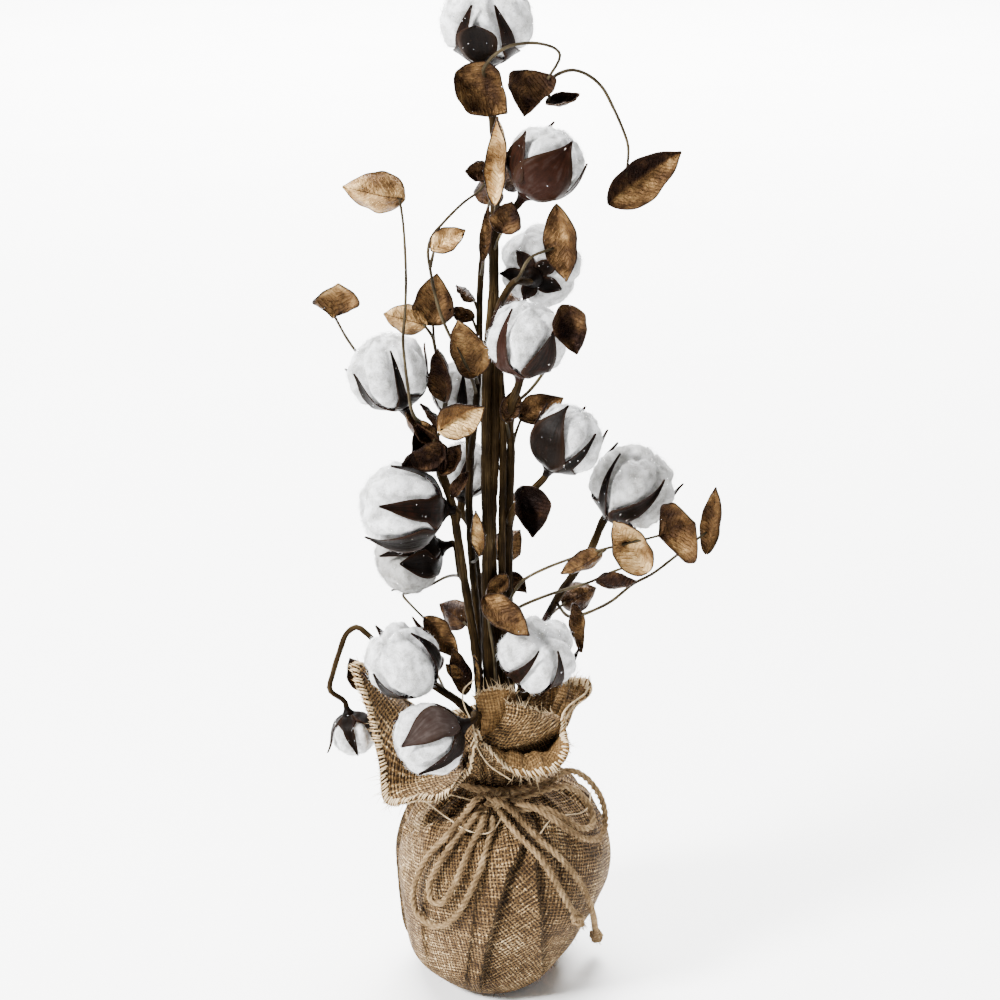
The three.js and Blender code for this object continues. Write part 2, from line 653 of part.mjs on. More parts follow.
const wrapBody = () => {
  const place = (row, angle) => {
    const [radius, height] = clothRows[row](angle);
    return new THREE.Vector3(leanAt(height) + radius * Math.cos(angle), radius * Math.sin(angle), height);
  };
  const outer = clothRows.map((_, row) =>
    Array.from({ length: clothColumns }, (_, column) => place(row, around(column))));
  const inward = (row, column) => {
    const low = outer[Math.max(row - 1, 0)][column];
    const high = outer[Math.min(row + 1, outer.length - 1)][column];
    const before = outer[row][(column + clothColumns - 1) % clothColumns];
    const after = outer[row][(column + 1) % clothColumns];
    const up = high.clone().sub(low);
    if (row === 0) up.set(0, 0, 1);
    return up.cross(after.clone().sub(before)).normalize().multiplyScalar(clothThick);
  };
  const inner = outer.map((ring, row) => ring.map((point, column) => point.clone().add(inward(row, column))));
  inner[0].forEach((point) => point.setZ(clothThick));
  inner[1].forEach((point) => point.setZ(Math.max(point.z, clothThick + 2)));
  const bottom = Array.from({ length: clothColumns }, () => new THREE.Vector3(footLean, 0, 0));
  const floor = Array.from({ length: clothColumns }, () => new THREE.Vector3(footLean, 0, clothThick));
  return cellShell([bottom, ...outer], [floor, ...inner], () => true, true);
};

// Jute twine. Its route is read off the picture too, and lift is its height over the bag.
const onBag = ([across, down, lift]) => {
  let depth = -bagRadius(80);
  for (let step = 0; step < 60; step++) {
    const place = seen([across, down, depth]);
    const radius = bagRadius(place.z) + pleatDepth + lift;
    depth = 0.5 * depth - 0.5 * Math.sqrt(Math.max(radius ** 2 - (place.x - leanAt(place.z)) ** 2, 0));
  }
  return seen([across, down, depth]);
};

const loosePoint = (point) => (point.length === 4 ? seen(point.slice(0, 3)) : onBag(point));
const free = true;
const lowLift = twineRadius + 1.2;
const midLift = lowLift + twineRadius;
const highLift = lowLift + 2 * twineRadius + 0.6;
const topLift = highLift + 2 * twineRadius + 0.6;
const cords = [
  {
    name: "twine_loop_left_outer",
    points: [[483, 795, -37, free], [473, 803, -46, free], [460, 820, topLift], [446, 837, topLift],
      [431, 852, lowLift], [420, 870, lowLift], [413, 892, lowLift], [417, 913, lowLift],
      [435, 926, lowLift], [453, 919, lowLift], [467, 898, lowLift], [479, 872, lowLift],
      [488, 843, lowLift], [492, 826, -48, free], [493, 817, -43, free]],
  },
  {
    name: "twine_loop_left_inner",
    points: [[483, 807, -39, free], [474, 818, -47, free], [462, 832, midLift], [449, 848, midLift],
      [437, 867, lowLift], [429, 887, lowLift], [432, 901, lowLift], [441, 903, lowLift],
      [452, 889, lowLift], [463, 864, midLift], [474, 840, midLift], [482, 824, -51, free],
      [485, 815, -42, free]],
  },
  {
    name: "twine_loop_right_outer",
    points: [[510.5, 792, -36, free], [530, 788, -31, free], [550, 782, -27, free], [566, 771, -20, free],
      [582, 775, -15, free], [597, 791, -12, free], [604, 808, -10, free], [605, 826, -14, free],
      [600, 838, -26, free], [586, 839, -40, free], [570, 831, -49, free], [553, 819, -53, free],
      [535, 808, -51, free], [523, 804, -46, free], [516, 803, -41, free]],
  },
  {
    name: "twine_loop_right_inner",
    points: [[510.5, 800, -36, free], [530, 795, -34, free], [548, 789, -32, free], [568, 787, -28, free],
      [583, 797, -24, free], [592, 813, -25, free], [592, 826, -32, free], [580, 828, -41, free],
      [562, 817, -45, free], [542, 808, -43, free], [524, 809, -40, free], [511, 809, -38, free]],
  },
  {
    name: "twine_tail_short",
    points: [[499, 810.5, -40.8, free], [508, 823, topLift], [522, 839, topLift], [537, 854, topLift],
      [549, 871, topLift], [560, 890, highLift], [569, 906, highLift]],
    end: [577, 918, highLift],
  },
  {
    name: "twine_tail_long",
    points: [[494, 797, -43.8, free], [506, 806, -46, free], [521, 820, topLift], [538, 838, topLift],
      [557, 855, topLift], [573, 873, highLift], [586, 894, lowLift], [592, 911, lowLift]],
    end: [596, 934, lowLift],
  },
];

const cordSpacing = 6 * twineRadius;
const ballOf = (centre, radius) => {
  const ball = new THREE.SphereGeometry(radius, 10, 6);
  return ball.translate(centre.x, centre.y, centre.z);
};

const addCord = ({ name, points, end }) => {
  const route = points.map(loosePoint);
  if (end) {
    const centre = loosePoint(end);
    const last = route[route.length - 1];
    const outward = last.clone().sub(centre).setLength(endKnotRadius + touchGap);
    route.push(centre.clone().add(outward));
    addPiece(`${name}_knot`, ballOf(centre, endKnotRadius), "jute");
  }
  addPiece(name, tube(route, twineRadius, twineSides, cordSpacing), "jute");
};

// The tie: turns of twine side by side, round the gathered neck
const tieBody = () => {
  const turns = Array.from({ length: tieTurns }, (_, turn) => {
    const height = (neckHeight + neckTop) / 2 + (turn - (tieTurns - 1) / 2) * 1.7 * twineRadius;
    return new THREE.TorusGeometry(tieRadius, twineRadius, 6, 24).translate(0, 0, height);
  });
  return joined(turns);
};

// The bow's knot: two crossing strands and a turn over them
const knotAt = [497, 800, -37];
const knotBody = () => {
  const centre = seen(knotAt);
  const strand = (x, z) => tube([
    centre.clone().add(new THREE.Vector3(-x, 1, -z)), centre.clone().add(new THREE.Vector3(0, -1.5, 0)),
    centre.clone().add(new THREE.Vector3(x, 1, z)),
  ], 1.6 * twineRadius, twineSides, 4);
  return joined([strand(6, 3), strand(5, -4)]);
};

addPiece("inner_pot", potBody(), "terracotta");
addPiece("plaster_fill", geometryOf(fillBody()), "plaster");
addPiece("burlap_wrap", wrapBody(), "burlap");
addPiece("twine_tie", geometryOf(tieBody()), "jute");
addPiece("twine_knot", geometryOf(knotBody()), "jute");
cords.forEach(addCord);
branches.forEach((branch) => addPiece(branch.name, geometryOf(branchBody(branch)), "branch"));
bolls.forEach((boll) => {
  addPiece(`boll_${boll.name}_burr`, burrBody(boll), "burr");
  addPiece(`boll_${boll.name}_lint`, lintBody(boll), "lint");
});

export default model;
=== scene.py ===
# Cotton stem bunch: bolls in dark burrs and cupped gold-brown leaves on brown branches, standing in a
# pot that burlap is gathered round and tied shut over with a jute bow. The shapes are worked out in
# millimetres, +Z up and the front towards -Y, and become metres where a mesh is made.
import math

import bpy
import numpy as np
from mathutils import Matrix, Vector


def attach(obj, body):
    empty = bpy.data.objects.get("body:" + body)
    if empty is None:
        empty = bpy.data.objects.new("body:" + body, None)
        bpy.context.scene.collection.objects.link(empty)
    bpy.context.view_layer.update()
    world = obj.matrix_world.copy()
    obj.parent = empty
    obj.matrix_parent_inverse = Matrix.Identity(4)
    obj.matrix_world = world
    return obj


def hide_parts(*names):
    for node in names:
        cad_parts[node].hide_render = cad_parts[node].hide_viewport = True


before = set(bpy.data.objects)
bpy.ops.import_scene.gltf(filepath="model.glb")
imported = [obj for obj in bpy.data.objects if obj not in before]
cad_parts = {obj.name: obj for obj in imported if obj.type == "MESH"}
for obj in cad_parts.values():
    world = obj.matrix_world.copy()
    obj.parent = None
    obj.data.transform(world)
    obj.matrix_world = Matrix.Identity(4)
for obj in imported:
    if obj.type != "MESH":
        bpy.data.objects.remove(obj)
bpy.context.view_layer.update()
metre = 0.001

# Camera and lights

shot = {
    "distance": 1200.0,  # from the camera to what it aims at
    "tilt": 20.0,        # degrees down
    "aimHeight": 310.0,
    "pixels": 2060.0,    # the focal length in a picture 1000 wide
    "picture": 1000.0,
    "sensor": 36.0,
}
tilt = math.radians(shot["tilt"])
towardsEye = np.array([0.0, -math.cos(tilt), math.sin(tilt)])


# Where things seen in the picture are: across and down in its pixels, and the depth in Y. The ray
# through the pixel is followed to the plane of that depth.
def seen(places):
    across, down, depth = np.asarray(places, float).T
    slope = (shot["picture"] / 2 - down) / shot["pixels"]
    sin, cos = math.sin(tilt), math.cos(tilt)
    rise = (slope * (shot["distance"] + depth * cos) - depth * sin) / (cos + slope * sin)
    distance = shot["distance"] + depth * cos - rise * sin
    x = (across - shot["picture"] / 2) * distance / shot["pixels"]
    return np.stack([x, depth, shot["aimHeight"] + rise], axis=-1)


def makeCamera():
    lens = bpy.data.cameras.new("camera")
    lens.sensor_width = shot["sensor"]
    lens.lens = shot["pixels"] * shot["sensor"] / shot["picture"]
    camera = bpy.data.objects.new("camera", lens)
    aim = np.array([0.0, 0.0, shot["aimHeight"]])
    camera.location = Vector((aim + towardsEye * shot["distance"]) * metre)
    camera.rotation_euler = Vector(-towardsEye).to_track_quat("-Z", "Y").to_euler()
    bpy.context.scene.collection.objects.link(camera)
    bpy.context.scene.camera = camera


lamps = {
    "key": {"place": (-1.6, -0.9, 1.55), "aim": (0.0, 0.0, 0.28), "size": 0.5, "power": 205.0},
    "fill": {"place": (1.5, -1.2, 0.9), "aim": (0.0, 0.0, 0.28), "size": 1.6, "power": 4.0},
    "top": {"place": (-0.2, 0.5, 2.0), "aim": (0.0, 0.0, 0.28), "size": 1.4, "power": 75.0},
    "backdrop": {"place": (0.0, 4.5, 3.5), "aim": (0.0, 4.5, 0.0), "size": 5.0, "power": 2600.0},
}
worldStrength = 0.33


def makeLights():
    for name, lamp in lamps.items():
        light = bpy.data.lights.new(name, "AREA")
        light.size = lamp["size"]
        light.energy = lamp["power"]
        holder = bpy.data.objects.new(name, light)
        holder.location = lamp["place"]
        aim = Vector(lamp["aim"]) - Vector(lamp["place"])
        holder.rotation_euler = aim.to_track_quat("-Z", "Y").to_euler()
        bpy.context.scene.collection.objects.link(holder)
    world = bpy.data.worlds.new("studio")
    world.use_nodes = True
    world.node_tree.nodes["Background"].inputs["Color"].default_value = (1, 1, 1, 1)
    world.node_tree.nodes["Background"].inputs["Strength"].default_value = worldStrength
    bpy.context.scene.world = world


makeCamera()
makeLights()
print("stage: camera and lights")

# Small helpers for shapes


def unit(vectors):
    return vectors / np.linalg.norm(vectors, axis=-1, keepdims=True)


def smoothStep(low, high, values):
    part = np.clip((values - low) / (high - low), 0, 1)
    return part * part * (3 - 2 * part)


# A smooth curve through the points: each stretch is a cubic whose end slopes come from the points on
# both sides, weighted by the root of their distances. Returned at even steps of about the given length.
def smoothPath(points, step):
    points = np.asarray(points, float)
    padded = np.vstack([2 * points[0] - points[1], points, 2 * points[-1] - points[-2]])
    a, b, c, d = padded[:-3], padded[1:-2], padded[2:-1], padded[3:]
    ab, bc, cd = [np.sqrt(np.linalg.norm(q - p, axis=1))[:, None] for p, q in ((a, b), (b, c), (c, d))]
    slopeB = ((b - a) / ab - (c - a) / (ab + bc) + (c - b) / bc) * bc
    slopeC = ((c - b) / bc - (d - b) / (bc + cd) + (d - c) / cd) * bc
    t = np.linspace(0, 1, 24, endpoint=False)[None, :, None]
    b, c, slopeB, slopeC = b[:, None], c[:, None], slopeB[:, None], slopeC[:, None]
    fine = ((2 * t**3 - 3 * t**2 + 1) * b + (t**3 - 2 * t**2 + t) * slopeB
            + (3 * t**2 - 2 * t**3) * c + (t**3 - t**2) * slopeC)
    fine = np.vstack([fine.reshape(-1, points.shape[1]), points[-1]])
    far = np.concatenate([[0], np.cumsum(np.linalg.norm(np.diff(fine, axis=0), axis=1))])
    even = np.linspace(0, far[-1], max(2, round(far[-1] / step)) + 1)
    return np.stack([np.interp(even, far, column) for column in fine.T], axis=-1)


# One closed or open skin over a grid of points, rows by columns. wrap joins the last column to the
# first, caps close the first and last row with a fan, and uv holds (across, along) for each corner of
# the grid, with one more column than the points where it wraps.
def skin(grid, uv, wrap=False, caps=False, stuff=0, **tones):
    rows, columns = grid.shape[:2]
    span = columns if wrap else columns - 1
    r, c = [x.ravel() for x in np.meshgrid(np.arange(rows - 1), np.arange(span), indexing="ij")]
    after = (c + 1) % columns
    quads = np.stack([r * columns + c, r * columns + after, (r + 1) * columns + after,
                      (r + 1) * columns + c], axis=1)
    quadUv = np.stack([uv[r, c], uv[r, c + 1], uv[r + 1, c + 1], uv[r + 1, c]], axis=1)
    made = {
        "points": grid.reshape(-1, 3), "faces": [quads], "uv": [quadUv.reshape(-1, 2)], "stuff": stuff,
        "tones": {name: np.broadcast_to(tone, (rows, columns)).ravel() for name, tone in tones.items()},
    }
    if caps:
        ring = np.arange(columns)
        middle = np.full(columns, rows * columns)
        last = (rows - 1) * columns
        made["faces"].append(np.stack([middle, (ring + 1) % columns, ring], axis=1))
        made["faces"].append(np.stack([middle + 1, last + ring, last + (ring + 1) % columns], axis=1))
        for row in (0, rows - 1):
            edge = uv[row, :columns]
            made["uv"].append(np.stack([edge, edge, edge], axis=1).reshape(-1, 2))
        made["points"] = np.vstack([made["points"], grid[0].mean(0), grid[-1].mean(0)])
        for name, tone in made["tones"].items():
            made["tones"][name] = np.concatenate([tone, [tone[0], tone[-1]]])
    return made


# The outward normal at each point of a grid, from the slopes along its columns and rows
def gridNormals(grid, wrap=False):
    if wrap:
        across = np.roll(grid, -1, axis=1) - np.roll(grid, 1, axis=1)
    else:
        across = np.gradient(grid, axis=1)
    normals = np.cross(across, np.gradient(grid, axis=0))
    return normals / np.maximum(np.linalg.norm(normals, axis=-1, keepdims=True), 1e-9)


# A sheet with two faces and a rim round its edge. The back lies behind the front by thickness, which
# may differ from point to point. Tones may be (front, back) pairs.
def thickSheet(front, uv, thickness, stuff=0, **tones):
    rows, columns = front.shape[:2]
    back = front - gridNormals(front) * np.broadcast_to(thickness, (rows, columns))[..., None]
    face = skin(front, uv, stuff=stuff)
    quads = face["faces"][0]
    count = rows * columns
    number = np.arange(count).reshape(rows, columns)
    loop = np.concatenate([number[0, :-1], number[:-1, -1], number[-1, :0:-1], number[:0:-1, 0]])
    after = np.roll(loop, -1)
    rim = np.stack([after, loop, loop + count, after + count], axis=1)
    face["points"] = np.vstack([face["points"], back.reshape(-1, 3)])
    face["faces"] = [quads, (quads + count)[:, ::-1], rim]
    flat = uv.reshape(-1, 2)
    face["uv"] = [flat[quads].reshape(-1, 2), flat[quads[:, ::-1]].reshape(-1, 2),
                  flat[np.stack([after, loop, loop, after], axis=1)].reshape(-1, 2)]
    for name, tone in tones.items():
        pair = tone if isinstance(tone, tuple) else (tone, tone)
        face["tones"][name] = np.concatenate([np.broadcast_to(t, (rows, columns)).ravel() for t in pair])
    return face


# A tube along a path: a ring round each point, whose radius may change along it. lobes, lobeDepth and
# pitch give it the rope form of that many plies twisted once every pitch.
def tubeSkin(path, radius, sides, lobes=0, lobeDepth=0.0, pitch=1.0, stuff=0, **tones):
    tangents = unit(np.gradient(path, axis=0))
    least = np.linalg.svd(tangents, full_matrices=False)[2][-1]
    first = unit(least - (tangents @ least)[:, None] * tangents)
    second = np.cross(tangents, first)
    far = np.concatenate([[0], np.cumsum(np.linalg.norm(np.diff(path, axis=0), axis=1))])
    turn = 2 * np.pi * np.arange(sides + 1) / sides
    width = np.broadcast_to(radius, len(path))[:, None]
    if lobes:
        swell = np.cos(lobes * (turn[None, :-1] - 2 * np.pi * far[:, None] / pitch))
        width = width * (1 + lobeDepth * (swell - 1))
        # groove: how deep each point lies between the plies; the jute paints shade there from it
        tones["groove"] = np.maximum(-swell, 0)
    rings = (path[:, None] + (width * np.cos(turn[:-1]))[..., None] * first[:, None]
             + (width * np.sin(turn[:-1]))[..., None] * second[:, None])
    size = float(np.mean(np.broadcast_to(radius, len(path))))
    uv = np.stack(np.broadcast_arrays(turn[None, :] * size, far[:, None]), axis=-1)
    return skin(rings, uv, wrap=True, caps=True, stuff=stuff, **tones)


# Many thin bent fibres at once: each a three-sided sliver from its root, through a middle point, to its
# tip. roots, middles and tips are rows of points, and thick is the radius at the root.
def slivers(roots, middles, tips, thick, stuff=0, **tones):
    count = len(roots)
    along = unit(tips - roots)
    helper = np.where(np.abs(along[:, 2:]) > 0.8, [[1.0, 0, 0]], [[0, 0, 1.0]])
    first = unit(np.cross(along, helper))
    second = np.cross(along, first)
    corners = 2 * np.pi * np.arange(3) / 3
    ring = (np.cos(corners)[None, :, None] * first[:, None]
            + np.sin(corners)[None, :, None] * second[:, None])
    thick = np.broadcast_to(thick, count)[:, None, None]
    points = np.concatenate([roots[:, None] + ring * thick, middles[:, None] + ring * thick * 0.8,
                             tips[:, None]], axis=1)
    sides = [[k, (k + 1) % 3, 3 + (k + 1) % 3] for k in range(3)]
    sides += [[k, 3 + (k + 1) % 3, 3 + k] for k in range(3)]
    sides += [[3 + k, 3 + (k + 1) % 3, 6] for k in range(3)]
    sides.append([2, 1, 0])
    faces = (np.array(sides)[None] + 7 * np.arange(count)[:, None, None]).reshape(-1, 3)
    tone = {name: np.repeat(np.broadcast_to(value, count), 7) for name, value in tones.items()}
    return {"points": points.reshape(-1, 3), "faces": [faces], "stuff": stuff, "tones": tone,
            "uv": [np.zeros((len(faces) * 3, 2))]}


# Makes one object of all the given parts, in metres, riding on the root body
def makePiece(name, parts, materials, nodes=()):
    starts = np.cumsum([0] + [len(part["points"]) for part in parts])
    points = np.vstack([part["points"] for part in parts]) * metre
    points[:, 2] = np.maximum(points[:, 2], 0)
    faces, uv, stuffs = [], [], []
    for part, start in zip(parts, starts):
        for block, corners in zip(part["faces"], part["uv"]):
            faces += (block + start).tolist()
            uv.append(corners)
            stuffs.append(np.full(len(block), part["stuff"]))
    mesh = bpy.data.meshes.new(name)
    mesh.from_pydata(points.tolist(), [], faces)
    mesh.uv_layers.new(name="UVMap").data.foreach_set("uv", np.vstack(uv).astype(np.float32).ravel())
    mesh.polygons.foreach_set("material_index", np.concatenate(stuffs).astype(np.int32))
    for tone in sorted({tone for part in parts for tone in part["tones"]}):
        values = np.concatenate([part["tones"].get(tone, np.zeros(len(part["points"]))) for part in parts])
        mesh.attributes.new(tone, "FLOAT", "POINT").data.foreach_set("value", values.astype(np.float32))
    mesh.shade_smooth()
    for material in materials:
        mesh.materials.append(material)
    piece = bpy.data.objects.new(name, mesh)
    bpy.context.scene.collection.objects.link(piece)
    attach(piece, "root")
    if nodes:
        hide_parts(*nodes)
    return piece


# Small helpers for materials. A recipe gets add(kind, inputs, settings) and the shader to feed.


def newMaterial(name, roughness, **sockets):
    material = bpy.data.materials.new(name)
    material.use_nodes = True
    tree = material.node_tree
    shader = tree.nodes["Principled BSDF"]
    shader.inputs["Roughness"].default_value = roughness
    for socket, value in sockets.items():
        shader.inputs[socket.replace("_", " ")].default_value = value

    def add(kind, inputs=None, output=0, **settings):
        made = tree.nodes.new("ShaderNode" + kind)
        for setting, value in settings.items():
            setattr(made, setting, value)
        for socket, value in (inputs or {}).items():
            if isinstance(value, bpy.types.NodeSocket):
                tree.links.new(value, made.inputs[socket])
            else:
                made.inputs[socket].default_value = value
        return made.outputs[output]

    def feed(socket, value):
        tree.links.new(value, shader.inputs[socket])

    return material, add, feed


def maths(add, operation, a, b=0.0, clamp=False):
    return add("Math", {0: a, 1: b}, operation=operation, use_clamp=clamp)


def blend(add, share, a, b, kind="MIX"):
    return add("Mix", {0: share, 6: a, 7: b}, output=2, data_type="RGBA", blend_type=kind)


def between(add, value, low, high, start=0.0, end=1.0):
    inputs = {"Value": value, "From Min": low, "From Max": high, "To Min": start, "To Max": end}
    return add("MapRange", inputs)


def noise(add, vector, scale, detail=3.0, rough=0.5):
    return add("TexNoise", {"Vector": vector, "Scale": scale, "Detail": detail, "Roughness": rough})


def stretched(add, vector, scale):
    return add("Mapping", {"Vector": vector, "Scale": scale})


# The places by UV and in the object's own space
def placesOf(add):
    return add("TexCoord", output="UV"), add("TexCoord", output="Object")


def toneOf(add, name):
    return add("Attribute", attribute_name=name, output="Fac")


# Two values, each times its share, added up
def weighted(add, first, second):
    return maths(add, "ADD", maths(add, "MULTIPLY", *first), maths(add, "MULTIPLY", *second))


# A value swayed to both sides by another that lies round a half
def swayed(add, value, other, amount):
    return maths(add, "ADD", value, maths(add, "MULTIPLY", maths(add, "SUBTRACT", other, 0.5), amount))


def ramp(add, value, stops):
    made = add("ValToRGB", {"Fac": value}).node
    elements = made.color_ramp.elements
    elements[0].position, elements[0].color = stops[0][0], (*stops[0][1], 1)
    elements[1].position, elements[1].color = stops[-1][0], (*stops[-1][1], 1)
    for position, colour in stops[1:-1]:
        elements.new(position).color = (*colour, 1)
    return made.outputs["Color"]


def bump(add, height, strength, distance):
    return add("Bump", {"Height": height, "Strength": strength, "Distance": distance})


# Twine: its finish, the bow's loops and tails, the tie and the knot

bag = {
    "profile": [  # radius and height, from the foot to the neck
        [38, 0], [45, 3.5], [52.5, 15], [59, 38], [64, 60], [65.5, 77], [62.5, 94], [54.5, 110], [39, 121],
        [28.5, 125.8], [25, 129]],
    "neckTop": 138.0,
    "footLean": -5.0,   # how far the foot stands to the left of the neck
    "belly": 60.0,      # the height where the lean ends
    "pleatDepth": 2.2,
    "pot": [33.0, 48.0, 76.0, -2.5],  # its radius at the foot and rim, its height, and its place across
    "overPot": 1.5,     # the least way out from the pot to the cloth
}
bagRadii, bagLevels = np.array(bag["profile"], float).T
neckRadius, neckLow = bagRadii[-1], bagLevels[-1]


def bagRadius(height):
    return np.interp(height, bagLevels, bagRadii)


def leanAt(height):
    return bag["footLean"] * np.maximum(0, 1 - height / bag["belly"])


# A place on the bag by its pixel, lifted off it: the depth is halved towards the bag's round until it fits
def onBag(across, down, lift):
    depth = -bagRadius(80)
    for _ in range(60):
        x, _, height = seen([[across, down, depth]])[0]
        radius = bagRadius(height) + bag["pleatDepth"] + lift
        depth = 0.5 * depth - 0.5 * math.sqrt(max(radius**2 - (x - leanAt(height)) ** 2, 0))
    return seen([[across, down, depth]])[0]


twine = {
    "radius": 1.9,
    "plies": 3,
    "plyDepth": 0.27,
    "pitch": 13.0,     # one turn of the plies
    "sides": 15,
    "step": 1.2,
    "knotRadius": 4.4,  # of the knots at the ends of the tails
    "gap": 0.3,
    "hairs": 2.4,      # stray fibres on each millimetre
    "seed": 11,
}
lowLift = twine["radius"] + 1.2
midLift = lowLift + twine["radius"]
highLift = lowLift + 2 * twine["radius"] + 0.6
topLift = highLift + 2 * twine["radius"] + 0.6
free = True  # a point with its own depth; the others lie on the bag with a lift

cords = [
  {
    "name": "twine_loop_left_outer",
    "points": [[483, 795, -37, free], [473, 803, -46, free], [460, 820, topLift], [446, 837, topLift],
      [431, 852, lowLift], [420, 870, lowLift], [413, 892, lowLift], [417, 913, lowLift],
      [435, 926, lowLift], [453, 919, lowLift], [467, 898, lowLift], [479, 872, lowLift],
      [488, 843, lowLift], [492, 826, -48, free], [493, 817, -43, free]],
  },
  {
    "name": "twine_loop_left_inner",
    "points": [[483, 807, -39, free], [474, 818, -47, free], [462, 832, midLift], [449, 848, midLift],
      [437, 867, lowLift], [429, 887, lowLift], [432, 901, lowLift], [441, 903, lowLift],
      [452, 889, lowLift], [463, 864, midLift], [474, 840, midLift], [482, 824, -51, free],
      [485, 815, -42, free]],
  },
  {
    "name": "twine_loop_right_outer",
    "points": [[510.5, 792, -36, free], [530, 788, -31, free], [550, 782, -27, free], [566, 771, -20, free],
      [582, 775, -15, free], [597, 791, -12, free], [604, 808, -10, free], [605, 826, -14, free],
      [600, 838, -26, free], [586, 839, -40, free], [570, 831, -49, free], [553, 819, -53, free],
      [535, 808, -51, free], [523, 804, -46, free], [516, 803, -41, free]],
  },
  {
    "name": "twine_loop_right_inner",
    "points": [[510.5, 800, -36, free], [530, 795, -34, free], [548, 789, -32, free], [568, 787, -28, free],
      [583, 797, -24, free], [592, 813, -25, free], [592, 826, -32, free], [580, 828, -41, free],
      [562, 817, -45, free], [542, 808, -43, free], [524, 809, -40, free], [511, 809, -38, free]],
  },
  {
    "name": "twine_tail_short",
    "points": [[499, 810.5, -40.8, free], [508, 823, topLift], [522, 839, topLift], [537, 854, topLift],
      [549, 871, topLift], [560, 890, highLift], [569, 906, highLift]],
    "end": [577, 918, highLift], "tail": 9.0, "swell": 1.7,
  },
  {
    "name": "twine_tail_long",
    "points": [[494, 797, -43.8, free], [506, 806, -46, free], [521, 820, topLift], [538, 838, topLift],
      [557, 855, topLift], [573, 873, highLift], [586, 894, lowLift], [592, 911, lowLift]],
    "end": [596, 934, lowLift], "tail": 15.0, "swell": 2.9,
  },
]


def juteMaterial():
    material, add, feed = newMaterial("jute", 0.9, Specular_IOR_Level=0.08)
    spot, place = placesOf(add)
    fibres = noise(add, stretched(add, spot, (2.2, 0.22, 1)), 1.0, 4.0, 0.6)
    patches = noise(add, place, 90.0, 2.0)
    tone = weighted(add, (fibres, 0.7), (patches, 0.4))
    colour = ramp(add, tone, [
        (0.3, (0.05, 0.03, 0.013)), (0.5, (0.14, 0.088, 0.042)), (0.64, (0.29, 0.195, 0.10)),
        (0.8, (0.58, 0.44, 0.27))])
    pale = toneOf(add, "pale")
    colour = blend(add, pale, colour, (0.78, 0.60, 0.37, 1))
    # Painted shade: the twine is darker in the grooves between its plies
    groove = toneOf(add, "groove")
    feed("Base Color", blend(add, maths(add, "MULTIPLY", groove, 0.5), colour, (0.03, 0.018, 0.008, 1)))
    feed("Normal", bump(add, fibres, 0.7, 0.0007))
    return material


def loosePoint(point):
    if len(point) == 4:
        return seen([point[:3]])[0]
    return onBag(*point)


def pathLength(path):
    return float(np.linalg.norm(np.diff(path, axis=0), axis=1).sum())


# Stray fibres that stand off a twine: each leaves it aslant and bends over
def strayHairs(path, radius, rng, each, reach):
    count = max(4, int(pathLength(path) * each))
    pick = rng.integers(1, len(path) - 1, count)
    along = unit(path[pick + 1] - path[pick - 1])
    out = rng.normal(size=(count, 3))
    out = unit(out - (out * along).sum(1, keepdims=True) * along)
    roots = path[pick] + out * radius * 0.8
    length = rng.uniform(0.5, 1.0, (count, 1)) * reach
    sense = rng.choice([-1.0, 1.0], (count, 1))
    middles = roots + (out * 0.55 + along * sense * 0.5) * length * 0.5
    tips = middles + (out * 0.25 + along * sense * 0.8 + rng.normal(size=(count, 3)) * 0.25) * length * 0.6
    return slivers(roots, middles, tips, 0.09)


def twineSkin(path, **tones):
    return tubeSkin(path, twine["radius"] / (1 - twine["plyDepth"] * 0.42), twine["sides"], twine["plies"],
                    twine["plyDepth"], twine["pitch"], **tones)


knotLook = {"size": 3.7, "strand": 1.85, "stub": 1.8, "fibres": 90, "fibre": 0.14}


# An overhand knot: a trefoil that goes round three times, drawn out along the twine, and below it the
# frayed end, a bundle of fibres that swells and then closes
def endKnot(centre, along, tail, swell, rng):
    turn = np.linspace(0, 2 * np.pi, 64)
    side = unit(np.cross(along, towardsEye))
    face = np.cross(side, along)
    x = (np.sin(turn) + 2 * np.sin(2 * turn)) / 3
    y = (np.cos(turn) - 2 * np.cos(2 * turn)) / 3
    z = -np.sin(3 * turn) / 3
    loop = centre + knotLook["size"] * (x[:, None] * side * 0.85 + y[:, None] * along * 1.3
                                        + z[:, None] * face)
    far = np.linspace(0, 1, 10)
    stub = centre + along * (1.0 + (tail - 1.0) * far)[:, None]
    wide = knotLook["stub"] + swell * np.sin(np.pi * far**0.8) - 0.7 * far**2
    count = knotLook["fibres"]
    spin = rng.uniform(0, 2 * np.pi, (count, 1))
    ends = centre + along * rng.uniform(0.3, 0.9, (count, 1)) * tail
    ends = ends + (np.cos(spin) * side + np.sin(spin) * face) * (0.9 + swell * 0.7)
    tips = ends + along * rng.uniform(2, 5, (count, 1)) + rng.normal(size=(count, 3)) * 1.1
    return [tubeSkin(loop, knotLook["strand"], 10, 2, 0.2, 9.0), tubeSkin(stub, wide, 12, 4, 0.25, 14.0),
            slivers(ends, (ends + tips) / 2, tips, knotLook["fibre"])]


def makeCords(jute):
    rng = np.random.default_rng(twine["seed"])
    hairs = []
    for cord in cords:
        points = [loosePoint(point) for point in cord["points"]]
        knots = []
        if "end" in cord:
            centre = loosePoint(cord["end"])
            back = unit(points[-1] - centre)
            points.append(centre + back * (twine["knotRadius"] + twine["gap"]))
            knotName = cord["name"] + "_knot"
            strands = endKnot(centre, -back, cord["tail"], cord["swell"], rng)
            knots = [makePiece(knotName + "_tied", strands, [jute], [knotName])]
        path = smoothPath(points, twine["step"])
        piece = makePiece(cord["name"] + "_twisted", [twineSkin(path)], [jute], [cord["name"]])
        hairs.append(strayHairs(path, twine["radius"], rng, twine["hairs"], 5.0))
    return hairs


